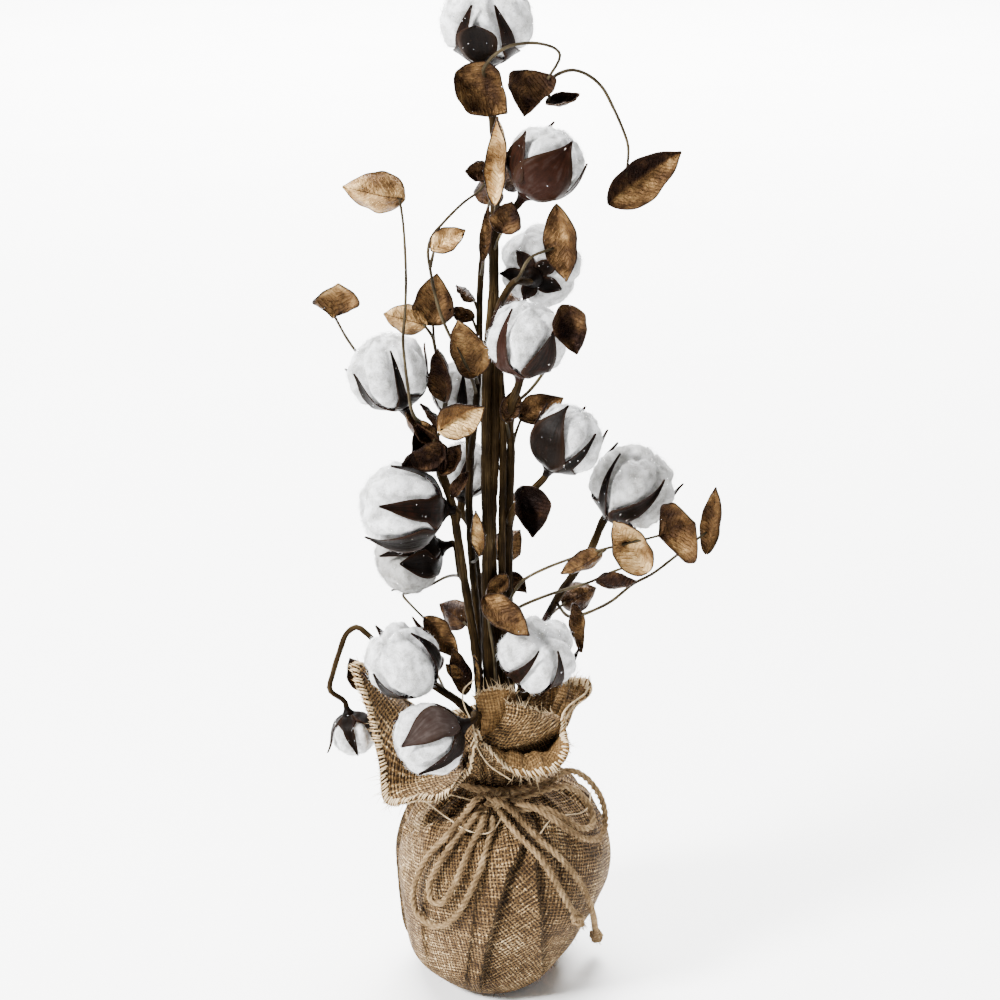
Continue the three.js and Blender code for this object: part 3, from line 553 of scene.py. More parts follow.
tie = {"radius": 27.4, "turns": 2.25, "middle": 133.5, "rise": 3.4, "spread": 1.3, "points": 260}
knot = {"place": [497, 800, -37], "round": 3.6, "reach": 6.5}


# The tie: a helix round the neck. The knot: two strands that cross, and a turn over them both.
def makeTie(jute):
    turn = np.linspace(0, 2 * np.pi * tie["turns"], tie["points"]) - np.pi / 2
    part = np.linspace(0, 1, tie["points"]) - 0.5
    height = tie["middle"] + tie["rise"] * part * tie["spread"]
    rounds = np.stack([tie["radius"] * np.cos(turn), tie["radius"] * np.sin(turn), height], axis=1)
    makePiece("twine_tie_twisted", [twineSkin(rounds)], [jute], ["twine_tie"])
    centre = seen([knot["place"]])[0]
    reach = knot["reach"]
    strands = []
    for x, z, lift in ((reach, 3.4, 0.0), (reach, -3.4, -1.2)):
        ends = [centre + [-x, 1.5, -z], centre + [-x / 2, -1.0 + lift, -z / 2], centre + [0, -2.2 + lift, 0],
                centre + [x / 2, -1.0 + lift, z / 2], centre + [x, 1.5, z]]
        strands.append(twineSkin(smoothPath(ends, 1.0)))
    wrap = np.linspace(-2.4, 2.4, 40)
    over = centre + np.stack([0.9 * wrap / 2.4, -knot["round"] * np.cos(wrap) - 0.4,
                              knot["round"] * 1.35 * np.sin(wrap)], axis=1)
    strands.append(twineSkin(over))
    makePiece("twine_knot_tied", strands, [jute], ["twine_knot"])


jute = juteMaterial()
twineHairs = makeCords(jute)
makeTie(jute)
print("stage: twine")

# Burlap

cloth = {
    "columns": 400,
    "step": 1.7,
    "ruffleRows": 26,
    "thick": 1.2,
    "flatSide": 300.0,      # of a square of about the modelled area; deep pleats would hide more
    "lift": 0.5,            # how far it stands off the pot's round
    "ripple": 0.9,
    "pleatStep": 3.3,       # how far a folded edge stands up
    "pleatFade": 13.0,      # over how far it falls back
    "thread": 2.12,         # from thread to thread
    "around": 62.0,         # the radius at which the threads are evenly spaced
    # insideTone: the other face is painted browner and darker, partly as its smoother reverse side, partly as
    # painted shade
    "insideTone": (0.1, 0.85),  # how much browner the other face is, on the left and on the right
    "seed": 5,
}
# Folded edges, as seen from the shoulder down to the foot. depth is how far one stands up, and grain is
# how much the threads to its right are turned, in degrees.
pleats = [
    {"route": [[452, 838], [430, 880], [420, 915], [425, 950]], "depth": 0.5, "grain": -14},
    {"route": [[486, 842], [476, 900], [473, 930], [466, 981]], "depth": 0.4, "grain": -8},
    {"route": [[523, 836], [508, 873], [497, 910], [489, 937], [480, 983]], "depth": 1.5, "grain": -38},
    {"route": [[532, 846], [537, 892], [541, 937], [545, 979]], "depth": 0.9, "grain": 8},
    {"route": [[548, 846], [562, 898], [571, 920], [570, 955]], "depth": 0.8, "grain": 20},
]
sideGrain = -12.0   # left of the first of them
backPleats = {"count": 9, "from": 2.0, "to": 166.0, "depth": 0.75, "grain": 28.0}
# Where the bag is drawn in: direction, how wide in radians, height, how tall, and how far in
draws = [[-28, 0.75, 26, 22, 6.0], [-8, 0.8, 3, 11, 5.0], [184, 0.85, 84, 34, 4.2], [192, 0.9, 1, 11, 5.5]]
# Creases that run across the bag: where they go in the picture, how deep and how wide
creases = [
    {"route": [[399, 829], [416, 822], [436, 816], [458, 811], [480, 808]], "depth": 2.6, "wide": 3.4},
    {"route": [[398, 872], [414, 868], [432, 858], [450, 844]], "depth": 0.8, "wide": 4.0},
    {"route": [[520, 826], [545, 830], [572, 842], [600, 850]], "depth": 1.4, "wide": 3.2},
]
ruffle = [
  [0, 34, 160, 47, 196], [20, 33, 158, 40, 190], [48, 32, 154, 38, 178], [70, 32, 150, 38, 168],
  [100, 32, 148, 42, 160], [130, 34, 148, 48, 156], [156, 40, 148, 56, 164], [168, 48, 154, 74, 188],
  [178, 52, 160, 89, 204], [187, 52, 154, 82, 184], [197, 52, 148, 77, 156], [208, 52, 142, 77, 131],
  [228, 44, 144, 62, 140], [238, 34, 144, 42, 147], [249, 33, 166, 38, 181], [257, 35, 172, 42, 171],
  [267, 37, 177, 45, 164], [280, 38, 178, 49, 157], [296, 39, 178, 53, 155], [309, 40, 176, 56, 159],
  [318, 40, 172, 56, 166], [328, 38, 166, 47, 176], [338, 36, 160, 48, 188], [348, 36, 160, 55, 199],
]


# A closed cubic through the values listed by direction, in degrees
def roundCubic(angles, directions, values):
    directions = np.concatenate([directions[-2:] - 360, directions, directions[:2] + 360])
    values = np.concatenate([values[-2:], values, values[:2]])
    slopes = np.gradient(values, directions)
    slopes[1:-1] = (values[2:] - values[:-2]) / (directions[2:] - directions[:-2])
    at = np.degrees(angles) % 360
    k = np.searchsorted(directions, at, side="right") - 1
    span = directions[k + 1] - directions[k]
    t = (at - directions[k]) / span
    return ((2 * t**3 - 3 * t**2 + 1) * values[k] + (t**3 - 2 * t**2 + t) * slopes[k] * span
            + (3 * t**2 - 2 * t**3) * values[k + 1] + (t**3 - t**2) * slopes[k + 1] * span)


# Waves in space: a sum of plane waves of about the given length in random directions, from -1 to 1
def waves(points, length, rng, count=9):
    ways = unit(rng.normal(size=(count, 3))) * (2 * np.pi / length)
    ways *= rng.uniform(0.7, 1.4, (count, 1))
    phases = rng.uniform(0, 2 * np.pi, count)
    return np.sin(points @ ways.T + phases).sum(-1) / math.sqrt(count) / 1.4


# How far each place on the bag stands out for its folded edges: full at the edge, fading to its left,
# and dropping at once to its right, with a shallow groove there. The second result is the turn of the
# threads, which changes at each edge.
# The third result is painted shade, darkest in the groove to the right of each edge and fading further right.
def foldedEdges(angles, heights, rng):
    edges = []
    for fold in pleats:
        spots = np.array([onBag(across, down, 0) for across, down in fold["route"]])[::-1]
        turns = np.arctan2(spots[:, 1], spots[:, 0] - leanAt(spots[:, 2]))
        edges.append((spots[:, 2], turns, fold["depth"], fold["grain"]))
    back = np.linspace(backPleats["from"], backPleats["to"], backPleats["count"])
    for direction in np.radians(back + rng.uniform(-6, 6, len(back))):
        levels = np.array([2.0, 30.0, 70.0, 110.0, 126.0])
        turns = direction + rng.uniform(-0.25, 0.25) * (levels / 126.0 - 0.5) + rng.uniform(-0.03, 0.03, 5)
        grain = rng.uniform(-1, 1) * backPleats["grain"]
        edges.append((levels, turns, backPleats["depth"] * rng.uniform(0.6, 1.5), grain))
    edges.sort(key=lambda edge: (edge[1][len(edge[1]) // 2] + np.pi) % (2 * np.pi))
    raised = np.zeros_like(heights)
    passed = np.zeros(heights.shape, int)
    paintedShade = np.zeros_like(heights)
    for levels, turns, depth, _ in edges:
        at = np.interp(heights, levels, turns)
        passed += (angles + np.pi) % (2 * np.pi) > (at + np.pi) % (2 * np.pi)
        off = ((at - angles + np.pi) % (2 * np.pi) - np.pi) * bagRadius(heights)
        present = smoothStep(levels[0] - 12, levels[0] + 6, heights)
        present = present * (1 - smoothStep(levels[-1] - 4, levels[-1] + 8, heights))
        left = np.exp(-np.maximum(off, 0) / cloth["pleatFade"])
        right = np.exp(np.minimum(off, 0) / 0.55)
        groove = np.exp(-(((off + 2.2) / 2.2) ** 2))
        raised += cloth["pleatStep"] * depth * present * (left * right - 0.35 * groove)
        # Painted shade in and beside the groove
        shadow = groove + 0.45 * np.exp(-np.abs(off + 3) / 6) * (off < -1.5)
        paintedShade += 0.55 * np.minimum(depth, 1.2) * present * shadow
    grains = np.radians([sideGrain] + [edge[3] for edge in edges])
    grains[-1] = grains[0]
    return raised, grains[passed], np.minimum(paintedShade, 1)


# How near each place is to a crease, and to the swell that runs above it
def creaseShape(places, crease):
    route = smoothPath([onBag(across, down, 0) for across, down in crease["route"]], 4.0)
    off = places[:, :, None] - route
    nearest = np.argmin((off**2).sum(-1), axis=-1)[..., None, None]
    off = np.take_along_axis(off, nearest, axis=2)[:, :, 0]
    apart = np.linalg.norm(off, axis=-1)
    wide = crease["wide"]
    ridge = np.exp(-(((apart - 2 * wide) / (1.3 * wide)) ** 2)) * (off[..., 2] < 0)
    return np.exp(-((apart / wide) ** 2)), ridge


# Pushes the places that are picked out until they are clear of the pot
def clearOfPot(places, picked):
    foot, rim, height, middle = bag["pot"]
    across = places[..., :2] - [middle, 0]
    far = np.linalg.norm(across, axis=-1)
    least = foot + (rim - foot) * np.clip(places[..., 2] / height, 0, 1) + bag["overPot"]
    grow = np.where(picked & (places[..., 2] < height + 2), np.maximum(1, least / np.maximum(far, 1)), 1)
    return np.concatenate([[middle, 0] + across * grow[..., None], places[..., 2:]], axis=-1)


# The burlap: rings from the middle of the foot up the bag's profile to the neck, then out along a
# curve to the ruffle's rim, whose reach and height change with the direction
def clothRings(rng):
    columns = cloth["columns"]
    angles = 2 * np.pi * np.arange(columns) / columns
    foot = np.stack([np.linspace(1.0, 36.0, 5), np.zeros(5)], axis=1)
    rise = smoothPath(np.vstack([bag["profile"], [[neckRadius, bag["neckTop"]]]]), cloth["step"])
    profile = np.vstack([foot, rise])
    radii = np.repeat(profile[:, :1], columns, axis=1)
    heights = np.repeat(profile[:, 1:], columns, axis=1)
    table = np.array(ruffle, float)
    midR, midH, rimR, rimH = [roundCubic(angles, table[:, 0], table[:, k]) for k in (1, 2, 3, 4)]
    part = np.linspace(0, 1, cloth["ruffleRows"] + 1)[1:, None]
    rest = 1 - part
    radii = np.vstack([radii, rest**2 * neckRadius + 2 * rest * part * midR + part**2 * rimR])
    heights = np.vstack([heights, rest**2 * bag["neckTop"] + 2 * rest * part * midH + part**2 * rimH])
    turns = np.broadcast_to(angles, radii.shape)
    bare = np.stack([leanAt(heights) + radii * np.cos(turns), radii * np.sin(turns), heights], axis=-1)
    normals = gridNormals(bare, wrap=True)
    bagRows = len(profile)
    onPot = np.arange(len(radii)) < bagRows
    gather = smoothStep(92, 124, heights) * onPot[:, None]
    above = np.clip((np.arange(len(radii)) - bagRows) / cloth["ruffleRows"], 0, 1)[:, None]
    folds = np.cos(23 * turns + 1.7 * np.sin(3 * turns) + 2.0)
    finer = np.cos(41 * turns + 2.2 * np.sin(5 * turns))
    out = smoothStep(0, 14, heights) * (cloth["lift"] + cloth["ripple"] * waves(bare, 46, rng))
    out = out * np.where(onPot[:, None], 1 - 0.7 * gather, 0)
    out += gather * (0.9 * folds + 0.35 * finer) * (1.4 - 0.7 * smoothStep(118, 130, heights))
    raised, grain, paintedShade = foldedEdges(turns, heights, rng)
    out += raised * onPot[:, None]
    for direction, wide, height, tall, depth in draws:
        away = (turns - math.radians(direction) + np.pi) % (2 * np.pi) - np.pi
        pulled = np.exp(-((away / wide) ** 2) - ((heights - height) / tall) ** 2)
        out -= depth * pulled * onPot[:, None]
    for crease in creases:
        valley, ridge = creaseShape(bare, crease)
        out += crease["depth"] * (0.5 * ridge - valley) * onPot[:, None]
        # Painted shade along the crease's valley
        paintedShade = np.maximum(paintedShade, 0.3 * crease["depth"] * valley**2)
    out += ~onPot[:, None] * (1 - 0.55 * above) * (1.3 * folds + 0.5 * finer)
    out += ~onPot[:, None] * above * 2.2 * waves(bare, 24, rng)
    grid = clearOfPot(bare + normals * out[..., None], onPot[:, None] & (radii > 36))
    grid[..., 2] = np.maximum(grid[..., 2], 0.0)
    rises = np.linalg.norm(np.diff(bare, axis=0), axis=-1)
    far = np.cumsum(np.concatenate([np.zeros((1, columns)), rises]), axis=0)
    far = np.hstack([far, far[:, :1]])
    grain = np.hstack([grain, grain[:, :1]])
    across = cloth["around"] * np.broadcast_to(np.linspace(0, 2 * np.pi, columns + 1), far.shape)
    uv = np.stack([across * np.cos(grain) - far * np.sin(grain),
                   across * np.sin(grain) + far * np.cos(grain)], axis=-1)
    # Painted shade where the gathers push the cloth in
    paintedShade = np.maximum(paintedShade * onPot[:, None], 0.5 * smoothStep(0.2, -1.4, out * gather))
    return grid, uv, bagRows, paintedShade


def burlapMaterial():
    material, add, feed = newMaterial("burlap", 0.8, Specular_IOR_Level=0.12)
    spot, place = placesOf(add)
    wander = add("TexNoise", {"Vector": spot, "Scale": 0.16, "Detail": 2.0}, output="Color")
    wander = add("VectorMath", {0: wander, 1: (2.0, 2.0, 0)}, operation="MULTIPLY")
    moved = add("VectorMath", {0: spot, 1: wander}, operation="ADD")
    split = add("SeparateXYZ", {"Vector": moved}).node
    turns = [maths(add, "MULTIPLY", split.outputs[k], math.pi / cloth["thread"]) for k in (0, 1)]
    sines = [maths(add, "SINE", turn) for turn in turns]
    warp, weft = [maths(add, "ABSOLUTE", sine) for sine in sines]
    over = maths(add, "MULTIPLY", *sines)
    streakWarp = noise(add, stretched(add, spot, (1.0, 0.06, 1)), 1.0, 3.0, 0.7)
    streakWeft = noise(add, stretched(add, spot, (0.06, 1.0, 1)), 1.0, 3.0, 0.7)
    warpUp = weighted(add, (warp, 0.8), (over, 0.22))
    weftUp = maths(add, "SUBTRACT", maths(add, "MULTIPLY", weft, 0.8), maths(add, "MULTIPLY", over, 0.22))
    height = maths(add, "MAXIMUM", warpUp, weftUp)
    # hole is 0 in the gaps between the threads, which are painted as dark shade
    hole = between(add, maths(add, "MAXIMUM", warp, weft), 0.38, 0.68)
    streaks = between(add, maths(add, "MULTIPLY", maths(add, "ADD", streakWarp, streakWeft), 0.5), 0.3, 0.7)
    patches = noise(add, place, 30.0, 4.0)
    fine = noise(add, place, 700.0, 2.0)
    tone = weighted(add, (streaks, 0.55), (patches, 0.4))
    tone = swayed(add, tone, fine, 0.5)
    # The brightest thread tones are partly painted highlight
    thread = ramp(add, tone, [
        (0.26, (0.03, 0.015, 0.005)), (0.43, (0.10, 0.054, 0.019)), (0.57, (0.29, 0.177, 0.075)),
        (0.72, (1.0, 0.75, 0.43))])
    # fold carries the painted shade of the pleats' grooves, the creases and the gathers
    fold = toneOf(add, "fold")
    # inner: the browner face, partly its own look and partly painted shade
    inner = toneOf(add, "inner")
    brown = ramp(add, tone, [
        (0.3, (0.10, 0.05, 0.016)), (0.52, (0.22, 0.122, 0.042)), (0.75, (0.44, 0.27, 0.115))])
    thread = blend(add, inner, thread, brown)
    hole = maths(add, "MAXIMUM", hole, maths(add, "MULTIPLY", inner, 0.9))
    # Painted shade: each thread is darker towards its edges, by its height
    round = between(add, height, 0.42, 1.0, 0.1, 1.0)
    round = maths(add, "MAXIMUM", round, maths(add, "MULTIPLY", inner, 0.75))
    round = maths(add, "MULTIPLY", round, maths(add, "SUBTRACT", 1.0, maths(add, "MULTIPLY", fold, 0.6)))
    thread = blend(add, 1.0, thread, add("CombineColor", {0: round, 1: round, 2: round}), "MULTIPLY")
    # Painted shade in the gaps between the threads
    feed("Base Color", blend(add, hole, (0.018, 0.009, 0.0035, 1), thread))
    feed("Normal", bump(add, maths(add, "MULTIPLY", height, hole), 1.0, 0.0009))
    return material


frayLook = {"length": (1.2, 5.5), "thick": (0.12, 0.22), "pale": 0.45, "rim": 520, "fold": 90}
hairLook = {"all": 900, "bag": 950, "long": 7.0, "short": 4.0, "neckRows": 40}


def fray(grid, rng, count):
    rim = grid[-1]
    out = unit(grid[-1] - grid[-3])
    pick = rng.integers(0, len(rim), count)
    jitter = rng.normal(size=(count, 3)) * 0.35
    roots = rim[pick] - out[pick] * 1.0 + jitter
    length = rng.uniform(*frayLook["length"], (count, 1))
    bend = rng.normal(size=(count, 3)) * 0.45
    middles = roots + (out[pick] + bend) * length * 0.5
    tips = middles + (out[pick] + bend * 1.8) * length * 0.5
    return slivers(roots, middles, tips, rng.uniform(*frayLook["thick"], count), pale=frayLook["pale"])


hemLook = {"every": 2.1, "slant": 1.0, "inward": 4.4, "past": 1.3, "thick": 0.7, "pale": 0.75}


# The hem: thick thread ends that lie aslant over the rim, one beside the other
def hem(grid, rng):
    rim = np.vstack([grid[-1], grid[-1][:1]])
    far = np.concatenate([[0], np.cumsum(np.linalg.norm(np.diff(rim, axis=0), axis=1))])
    spots = np.arange(0, far[-1], hemLook["every"])
    spots = spots + rng.uniform(-0.3, 0.3, len(spots)) * hemLook["every"]
    out = unit(grid[-1] - grid[-4])
    out = np.vstack([out, out[:1]])
    normals = gridNormals(grid, wrap=True)[-1]
    normals = np.vstack([normals, normals[:1]])
    root, out, normals = [np.stack([np.interp(spots, far, column) for column in rows.T], axis=1)
                          for rows in (rim, out, normals)]
    along = unit(np.cross(out, normals))
    slant = along * rng.uniform(0.7, 1.5, (len(spots), 1)) * hemLook["slant"]
    inward = rng.uniform(0.7, 1.2, (len(spots), 1)) * hemLook["inward"]
    past = rng.uniform(0.2, 1.4, (len(spots), 1)) * hemLook["past"]
    both = []
    for face in (0.5, -cloth["thick"] - 0.5):
        starts = root - out * inward - slant + normals * face
        tips = root + out * past + slant + normals * (face * 0.5 - 0.3)
        middles = (starts + tips) / 2 + normals * math.copysign(0.5, face)
        both.append(slivers(starts, middles, tips, hemLook["thick"], pale=hemLook["pale"]))
    return both


def surfaceHairs(grid, rng, count, low, high, reach):
    rows = rng.integers(low, high, count)
    columns = rng.integers(0, grid.shape[1], count)
    normals = gridNormals(grid, wrap=True)[rows, columns]
    roots = grid[rows, columns]
    way = rng.normal(size=(count, 3))
    length = rng.uniform(0.4, 1.0, (count, 1)) * reach
    middles = roots + (normals * 0.5 + way * 0.35) * length * 0.5
    tips = middles + (normals * 0.15 + way * 0.55) * length * 0.6
    return slivers(roots, middles, tips, 0.08)


# Two folds of the cloth that stand up inside the ruffle at the front, each a patch whose rows go up and
# whose columns go from left to right in the picture
innerFolds = {
    "flap": [
        [[486, 768, -24], [502, 772, -26], [520, 772, -26], [540, 768, -23], [558, 758, -17]],
        [[484, 757, -27], [501, 760, -28], [520, 756, -27], [541, 748, -23], [560, 738, -17]],
        [[480, 745, -34], [500, 747, -38], [521, 741, -38], [542, 733, -34], [562, 727, -25]],
        [[479, 738, -33], [500, 737, -37], [521, 730, -36], [542, 723, -31], [561, 720, -23]],
        [[493, 732, -29], [506, 727, -32], [524, 721, -32], [543, 717, -27], [561, 717, -20]],
        [[505, 712, -24], [512, 711, -27], [528, 712, -27], [544, 714, -23], [559, 716, -18]],
        [[505, 702, -21], [514, 704, -24], [529, 708, -24], [544, 712, -20], [557, 715, -17]],
    ],
    "back": [
        [[478, 770, -22], [486, 772, -25], [497, 772, -25], [509, 770, -22], [519, 766, -18]],
        [[478, 744, -27], [485, 742, -30], [496, 742, -29], [508, 738, -24], [518, 730, -18]],
        [[481, 722, -25], [488, 720, -28], [498, 718, -26], [509, 716, -22], [518, 712, -16]],
        [[476, 703, -24], [487, 702, -26], [498, 702, -24], [508, 702, -20], [516, 703, -14]],
        [[474, 697, -26], [484, 690, -24], [496, 688, -21], [507, 689, -18], [516, 694, -13]],
    ],
}
# How brown each fold is painted: partly its reverse side, partly painted shade, most on the back fold
innerFoldTone = {"flap": 0.3, "back": 1.0}
foldRows, foldColumns = 46, 60


# The smooth curve through the points, cut into the given number of even steps
def evenPath(points, count):
    path = smoothPath(points, 0.25)
    return path[np.round(np.linspace(0, len(path) - 1, count)).astype(int)]


def foldSheet(name, rng):
    rows = np.array([evenPath(seen(row), foldColumns) for row in innerFolds[name]])
    grid = np.stack([evenPath(rows[:, k], foldRows) for k in range(foldColumns)], axis=1)
    grid = grid + 0.5 * waves(grid, 11.0, rng)[..., None] * gridNormals(grid)
    across = np.cumsum(np.linalg.norm(np.diff(grid, axis=1, prepend=grid[:, :1]), axis=-1), axis=1)
    up = np.cumsum(np.linalg.norm(np.diff(grid, axis=0, prepend=grid[:1]), axis=-1), axis=0)
    return grid, thickSheet(grid, np.stack([across, up], axis=-1), cloth["thick"], fold=0.0,
                            inner=innerFoldTone[name])


def makeBurlap():
    rng = np.random.default_rng(cloth["seed"])
    grid, uv, bagRows, paintedShade = clothRings(rng)
    inside = grid - gridNormals(grid, wrap=True) * cloth["thick"]
    inside[..., 2] = np.maximum(inside[..., 2], cloth["thick"])
    rows = np.unique(np.concatenate([np.arange(0, bagRows, 3), np.arange(bagRows, len(grid))]))[::-1]
    left, right = cloth["insideTone"]
    turns = 2 * np.pi * np.arange(grid.shape[1]) / grid.shape[1]
    insideTone = left + (right - left) * smoothStep(-0.3, 0.4, np.cos(turns + 0.5))
    # fold: the painted shade of the pleats, creases and gathers
    shell = skin(np.concatenate([grid, inside[rows]]), np.concatenate([uv, uv[rows]]), wrap=True, caps=True,
                 fold=np.concatenate([paintedShade, paintedShade[rows]]),
                 inner=np.concatenate([0 * paintedShade, 0 * paintedShade[rows] + insideTone]))
    burlap = burlapMaterial()
    piece = makePiece("burlap_cloth", [shell], [burlap], ["burlap_wrap"])
    folds = [foldSheet(name, rng) for name in innerFolds]
    folded = makePiece("burlap_inner_folds", [sheet for _, sheet in folds], [burlap])
    frays = [fray(grid, rng, frayLook["rim"])]
    frays += [fray(inner, rng, frayLook["fold"]) for inner, _ in folds] + hem(grid, rng)
    fringe = makePiece("burlap_fringe", frays, [jute])
    neckRow = bagRows - hairLook["neckRows"]
    hairs = [surfaceHairs(grid, rng, hairLook["all"], neckRow, len(grid), hairLook["long"]),
             surfaceHairs(grid, rng, hairLook["bag"], 8, neckRow, hairLook["short"])]
    makePiece("burlap_hairs", hairs, [jute])


makeBurlap()
print("stage: burlap")

# Bolls: the lint in its locks, and the burr round it


# A boll: where it is seen, its size, the way it points, its turn about that way, how far up its burr
# reaches, and at will the cup's rise, the burr's tone and how much painted shade darkens the cotton
def aBoll(name, at, size, axis, turn, reach, **more):
    return {"name": name, "at": at, "size": size, "axis": axis, "turn": turn, "reach": reach, **more}


bolls = [
    aBoll("top", [487, 22, 0], 23.5, [0, -0.1, 1], 0, 112),
    aBoll("upper_right", [545, 165, -9], 20.5, [0.55, -0.1, 0.83], 8, 130, tone=0.46),
    aBoll("turned_away", [541, 265, 18], 22, [0.25, 0.93, 0.1], 20, 100, cup=20, shade=0.12),
    aBoll("middle_right", [526, 340, -28], 21.5, [0.14, -0.2, 0.97], -22, 130, tone=0.44),
    aBoll("left", [390, 373, 5], 22.5, [-0.36, -0.1, 0.93], 15, 112, shade=0.06),
    aBoll("back_upper", [462, 391, 31], 17.5, [0, 0.1, 1], 0, 120, shade=0.3),
    aBoll("right", [566, 440, -18], 20, [0.45, -0.1, 0.88], -25, 130),
    aBoll("far_right", [632, 487, 0], 24, [0.5, -0.35, 0.79], -30, 118, shade=0.42),
    aBoll("left_middle", [403, 508, -15], 25, [-0.98, -0.15, 0.1], -5, 112),
    aBoll("left_lower", [409, 556, 12], 20.5, [-0.95, -0.1, -0.25], 12, 120, shade=0.65),
    aBoll("low_left", [404, 662, -30], 22, [-0.5, -0.5, 0.7], 40, 118),
    aBoll("front", [430, 738, -55], 20.5, [-0.88, -0.1, -0.35], 25, 130),
    aBoll("hanging", [354, 733, 12], 13.5, [0.25, -0.1, -0.95], 10, 110),
    aBoll("low_right", [538, 655, -22], 22, [0.1, -0.55, 0.83], -45, 115),
    aBoll("back_lower", [465, 470, 38], 17, [0.1, 0.3, 0.95], 0, 120, shade=0.3),
]

lint = {
    "foot": 0.9,        # the radius at the stem and at the top, as a share of the widest
    "groove": 0.1,      # how deep it is under a burr segment
    "dip": 0.22,        # the same where the cotton swells up beside the segments
    "crease": 0.15,     # between the locks, past the segments' tips
    "swell": 0.06,
    "rows": 56,
    "columns": 122,
    "fibres": 1700,
    "flakes": 130,
    "fibreLength": (1.5, 5.6),  # on a boll of the size below
    "usual": 22,
    "seed": 100,
}
burr = {"gap": 0.3, "thick": 1.0, "segments": 5, "cup": 40.0, "shoulder": 0.3, "spread": 0.4, "curl": 3.0,
        "blunt": 2.1, "rows": 26, "columns": 9, "flakes": 34}
# Segments that don't follow the rule, by boll and number: how many degrees one stands off its fifth, how
# many more its tip swings, how far up it reaches, the share of its fifth that it fills, and at will its
# tone and how blunt it is
husks = {
    "top": {0: (-13, 0, 98, 0.74, 0.24, 9.0), 1: (-32, -30, 121, 0.34), 4: (26, 26, 121, 0.34)},
    "upper_right": {0: (4, 14, 150, 1.45), 4: (22, -8, 118, 1.0)},
    "turned_away": {0: (0, 10, 40, 0.9), 1: (0, -8, 44, 0.9), 2: (0, 8, 36, 0.9), 3: (0, 5, 46, 0.8),
                    4: (0, -8, 40, 0.9)},
    "middle_right": {0: (-8, -18, 148, 0.34), 1: (-26, 20, 128, 0.8)},
    "left": {0: (-12, 14, 134, 0.2)},
    "right": {0: (2, -18, 150, 1.3), 1: (-24, 24, 134, 0.34)},
    "far_right": {0: (16, -46, 134, 0.26), 1: (-38, 48, 150, 0.46)},
    "left_middle": {0: (2, 4, 124, 0.5), 4: (24, -18, 140, 0.8)},
    "left_lower": {4: (28, 26, 102, 0.95)},
    "low_left": {0: (0, 28, 138, 0.5), 4: (-20, -14, 138, 0.52)},
    "front": {0: (10, -26, 124, 1.0, 0.8), 1: (8, 10, 134, 0.24, 0.34), 4: (0, 0, 120, 0.4, 0.34)},
    "low_right": {0: (0, 42, 152, 0.38), 1: (8, 14, 148, 0.38)},
}


def bollFrame(boll):
    axis = unit(np.array(boll["axis"], float))
    facing = unit(towardsEye - towardsEye @ axis * axis)
    return {"centre": seen([boll["at"]])[0], "axis": axis, "facing": facing, "side": np.cross(axis, facing)}


# A point of a boll: angle goes round the axis from the side that faces the eye, rise up from the stem
def bollPoint(boll, angle, rise, radius):
    place = boll["frame"]
    turned = angle + math.radians(boll["turn"])
    across = radius * np.sin(rise)
    return (place["centre"] - (radius * np.cos(rise))[..., None] * place["axis"]
            + (across * np.cos(turned))[..., None] * place["facing"]
            + (across * np.sin(turned))[..., None] * place["side"])


# The burr's segments: the middle of each one's fifth, and how it departs from it
def segmentTable(boll, rng):
    table = []
    for number in range(burr["segments"]):
        usual = (0, rng.uniform(-14, 14), boll["reach"] + rng.uniform(-6, 10),
                 burr["spread"] * rng.uniform(0.8, 1.2))
        shift, swing, reach, spread, *more = husks.get(boll["name"], {}).get(number, usual)
        tone, blunt = [*more, *(boll.get("tone", 0.3), burr["blunt"])[len(more):]]
        table.append({"fifth": 2 * np.pi / burr["segments"] * number, "shift": math.radians(shift),
                      "swing": math.radians(swing), "reach": reach, "spread": spread, "tone": tone,
                      "blunt": blunt})
    return table


# A segment's course up the boll: how far each rise is from the cup's edge to the tip, and the middle and
# the half width there
def segmentCourse(boll, segment, rise):
    cup = boll.get("cup", burr["cup"])
    past = (np.degrees(rise) - cup) / (segment["reach"] - cup)
    inside = np.clip(past, 0, 1)
    middle = segment["fifth"] + segment["shift"] * smoothStep(0, 0.3, inside) + segment["swing"] * inside**1.5
    shrink = 1 + (segment["spread"] - 1) * smoothStep(0, burr["shoulder"], inside)
    return past, middle, np.pi / burr["segments"] * shrink * (1 - inside ** segment["blunt"]) ** 1.05


# The angle to the middle of the nearest fifth
def awayFrom(angle):
    each = 2 * np.pi / burr["segments"]
    return (angle + each / 2) % each - each / 2


# The ball under the segments: a share of the size by the rise, with a shallow groove at each segment
def ballRadius(boll, angle, rise):
    belly = lint["foot"] + (1 - lint["foot"]) * np.sin(rise)
    groove = np.cos(awayFrom(angle) * burr["segments"] / 2) ** 2
    return boll["size"] * belly * (1 - lint["groove"] * groove * np.sin(rise))


